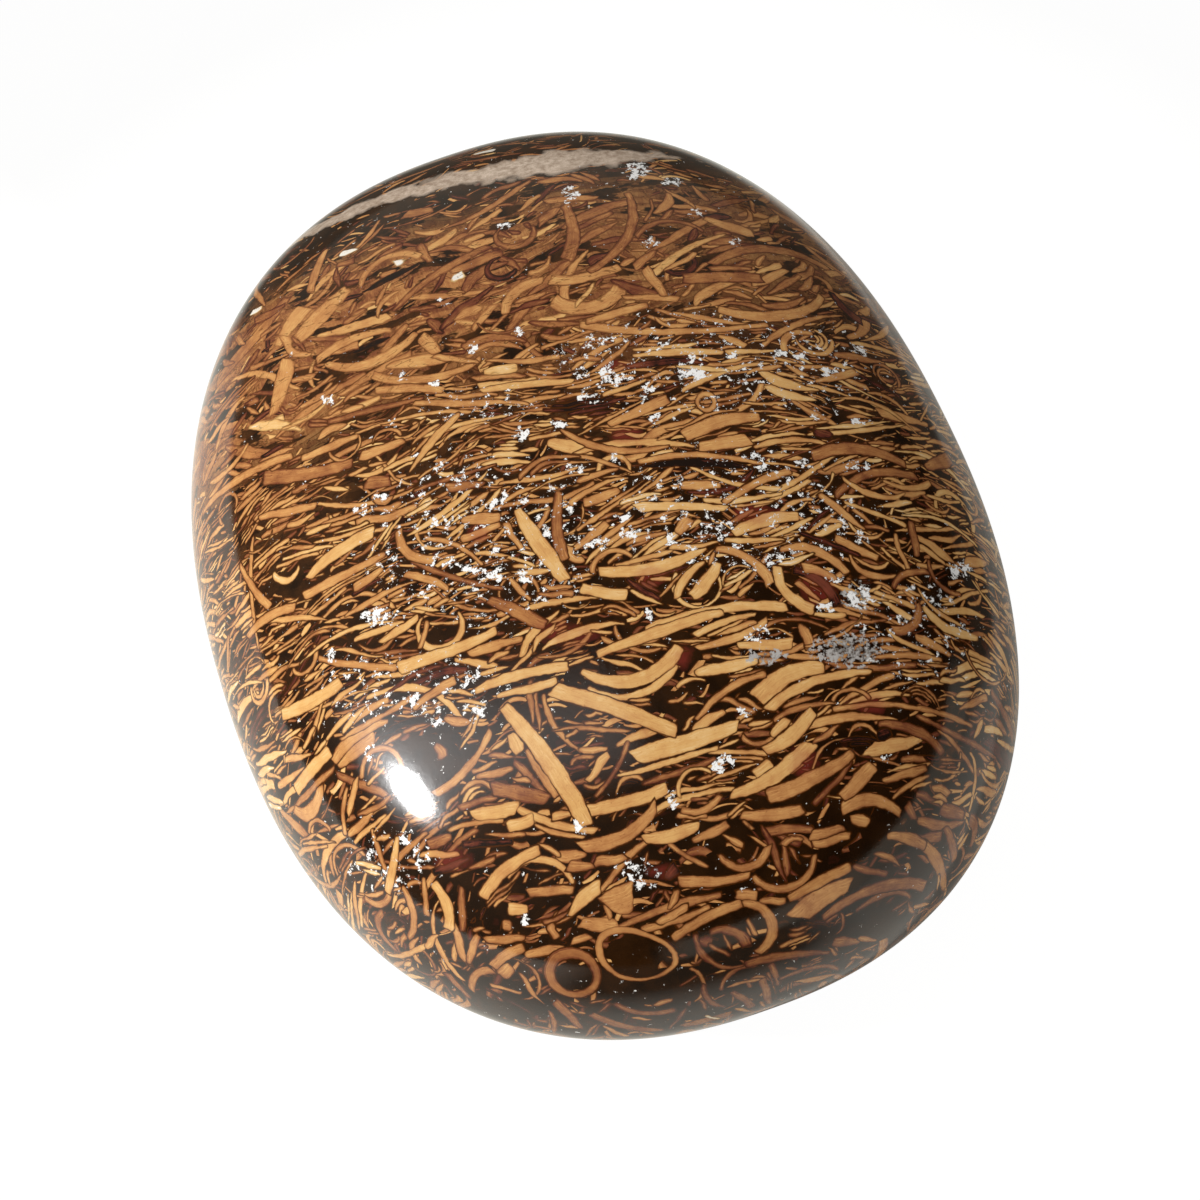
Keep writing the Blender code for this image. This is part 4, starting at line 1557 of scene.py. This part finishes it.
floor_mesh = bpy.data.meshes.new("floor")
signs = ((-1, -1), (1, -1), (1, 1), (-1, 1))
floor_corners = [(FLOOR_HALF * x_sign, FLOOR_HALF * y_sign, 0) for x_sign, y_sign in signs]
floor_mesh.from_pydata(floor_corners, [], [(0, 1, 2, 3)])
floor = bpy.data.objects.new("floor", floor_mesh)
bpy.context.scene.collection.objects.link(floor)
paper = bpy.data.materials.new("floor_paper")
paper.use_nodes = True
paper.node_tree.nodes.clear()
steps = Steps(paper.node_tree)
floor_place = steps.add("ShaderNodeTexCoord").outputs["Object"]
far_off = steps.ramp(steps.vector("LENGTH", floor_place), *PAPER_EDGE)
outwards = steps.vector("NORMALIZE", floor_place)
not_left = steps.ramp(steps.split(outwards)[0], *LEFT_EDGE)
near_right = steps.vector("DOT_PRODUCT", outwards, NEAR_RIGHT_WAY)
not_near_right = steps.ramp(near_right, *NEAR_RIGHT_EDGE)
bare_table = steps.times(far_off, steps.times(not_left, not_near_right))
shaded = steps.mix(bare_table, FLOOR_PALE, FLOOR_DARK, "RGBA")
plain = steps.add("ShaderNodeBsdfDiffuse", {"Color": shaded})
glow = steps.add("ShaderNodeEmission", {"Color": (1.0, 1.0, 1.0, 1.0), "Strength": WHITE_GLOW})
to_camera = steps.add("ShaderNodeLightPath").outputs["Is Camera Ray"]
share = steps.times(to_camera, CAMERA_GLOW)
mixed = steps.add("ShaderNodeMixShader", [share, plain.outputs[0], glow.outputs[0]])
steps.add("ShaderNodeOutputMaterial", [mixed.outputs[0]])
floor_mesh.materials.append(paper)
print("floor side, m:", FLOOR_HALF * 2)

# %% [markdown]
# ## The dim room
# A polished stone shows the room it lies in. This one is dim: a faint wall on the window's side, a
# paler wall beyond the far end, and a low pale rim of the table towards the near right, which
# veils the stone's edge there.

# %% Walls and the rim of the table
WINDOW_WAY = unit(np.array([-0.780, 0.023, 0.626]))
FAR_WAY = (0.1, 0.99, 0.1)
WALL_GLOW, FAR_WALL = 0.24, 0.40
TABLE_WAY, TABLE_TOP, TABLE_SIDE = (0.62, -0.78, 0.0), (0.23, 0.20), (0.60, 0.70)
TABLE_GLOW = 0.66

world = bpy.data.worlds.new("studio")
world.use_nodes = True
bpy.context.scene.world = world
world.node_tree.nodes.clear()
steps = Steps(world.node_tree)
way = steps.add("ShaderNodeTexCoord").outputs["Generated"]


def glow_towards(direction, power, strength):
    """A glow about a direction: the cosine of the angle to it, to a power."""
    cosine = steps.math("MAXIMUM", steps.vector("DOT_PRODUCT", way, tuple(direction)), 0.0)
    return steps.times(steps.math("POWER", cosine, power), strength)


room = steps.plus(glow_towards(WINDOW_WAY, 3.0, WALL_GLOW), glow_towards(FAR_WAY, 5.0, FAR_WALL))
height = steps.split(way)[2]
table_side = steps.vector("DOT_PRODUCT", way, TABLE_WAY)
table = steps.times(steps.ramp(height, *TABLE_TOP), steps.ramp(table_side, *TABLE_SIDE))
room = steps.times_plus(table, TABLE_GLOW, room)
print("window seen towards", np.round(WINDOW_WAY, 2))

# %% [markdown]
# ## The curtain and the sky
# A bright neutral curtain hangs above the window, and gives the sheen over its highlight. It is
# brightest at its foot and fades towards the ceiling. The stone's own colours are lit by a soft
# pale sky instead, so what is seen depends on what kind of ray asks.

# %% Sky for the light, room for the mirror
CURTAIN_ACROSS, CURTAIN_SIDES, CURTAIN_FOOT = (-0.139, -0.990, 0.0), (0.24, 0.05), (0.40, 0.56)
CURTAIN_GLOW, CEILING_GLOW = 4.8, 0.96
ROOM_COLOUR, NEUTRAL = (1.0, 0.95, 0.80, 1.0), (1.0, 1.0, 1.0, 1.0)
SKY_STRENGTH = 0.50

across = steps.math("ABSOLUTE", steps.vector("DOT_PRODUCT", way, CURTAIN_ACROSS))
curtain = steps.times(steps.ramp(across, *CURTAIN_SIDES), steps.ramp(height, *CURTAIN_FOOT))
curtain = steps.times(curtain, steps.ramp(height, 0.66, 1.0, CURTAIN_GLOW, CEILING_GLOW))
curtain =steps.times(curtain, steps.math("LESS_THAN", steps.split(way)[0], 0.0))
walls = steps.add("ShaderNodeBackground", {"Color": ROOM_COLOUR, "Strength": room})
day = steps.add("ShaderNodeBackground", {"Color": NEUTRAL, "Strength": curtain})
mirrored = steps.add("ShaderNodeAddShader", [walls.outputs[0], day.outputs[0]])
sky = steps.add("ShaderNodeBackground", {"Color": NEUTRAL, "Strength": SKY_STRENGTH})
is_mirror = steps.add("ShaderNodeLightPath").outputs["Is Glossy Ray"]
mixed = steps.add("ShaderNodeMixShader", [is_mirror, sky.outputs[0], mirrored.outputs[0]])
steps.add("ShaderNodeOutputWorld", [mixed.outputs[0]])
print("sky strength:", SKY_STRENGTH, "- curtain glow:", CURTAIN_GLOW)

# %% [markdown]
# ## The window
# One small bright window stands to the left of the stone and above it. It gives most of the light
# and the one white highlight. Where a highlight falls on a polished thing is set by reflection:
# the window stands along the mirrored ray from the place where the highlight is wanted.

# %% The window lamp
HIGHLIGHT_PIXEL = (411, 791)
WINDOW_AWAY_MM = 600.0
WINDOW_SIZE = 0.096
WINDOW_WATTS = 3.8

spot, out = on_skin(HIGHLIGHT_PIXEL)
to_eye = unit(eye - spot)
ray = 2 * (out @ to_eye) * out - to_eye
lamp_data = bpy.data.lights.new("window", "AREA")
lamp_data.shape = "ELLIPSE"
lamp_data.size, lamp_data.size_y = WINDOW_SIZE, WINDOW_SIZE
lamp_data.energy = WINDOW_WATTS
lamp = bpy.data.objects.new("window", lamp_data)
bpy.context.scene.collection.objects.link(lamp)
lamp.location = Vector(((spot + ray * WINDOW_AWAY_MM) * MM).tolist())
lamp.rotation_mode = "QUATERNION"
lamp.rotation_quaternion = Vector((-ray).tolist()).to_track_quat("-Z", "Y")
print("window at, m:", [round(part, 3) for part in lamp.location])

# %% [markdown]
# ## The camera
# The camera stands where the outline asked for it. Its three axes are the columns of its pose.
# The plain view transform keeps the colours as the materials give them.

# %% The camera object
camera_data = bpy.data.cameras.new("photograph")
camera_data.sensor_width = SENSOR
camera_data.lens = LENS
camera_data.clip_start, camera_data.clip_end = 0.01, 10.0
camera = bpy.data.objects.new("photograph", camera_data)
bpy.context.scene.collection.objects.link(camera)
pose = Matrix(axes.T.tolist()).to_4x4()
pose.translation = Vector((eye * MM).tolist())
camera.matrix_world = pose
bpy.context.scene.camera = camera
bpy.context.scene.view_settings.view_transform = "Standard"
print("camera at, m:", np.round(eye * MM, 3))

# %% [markdown]
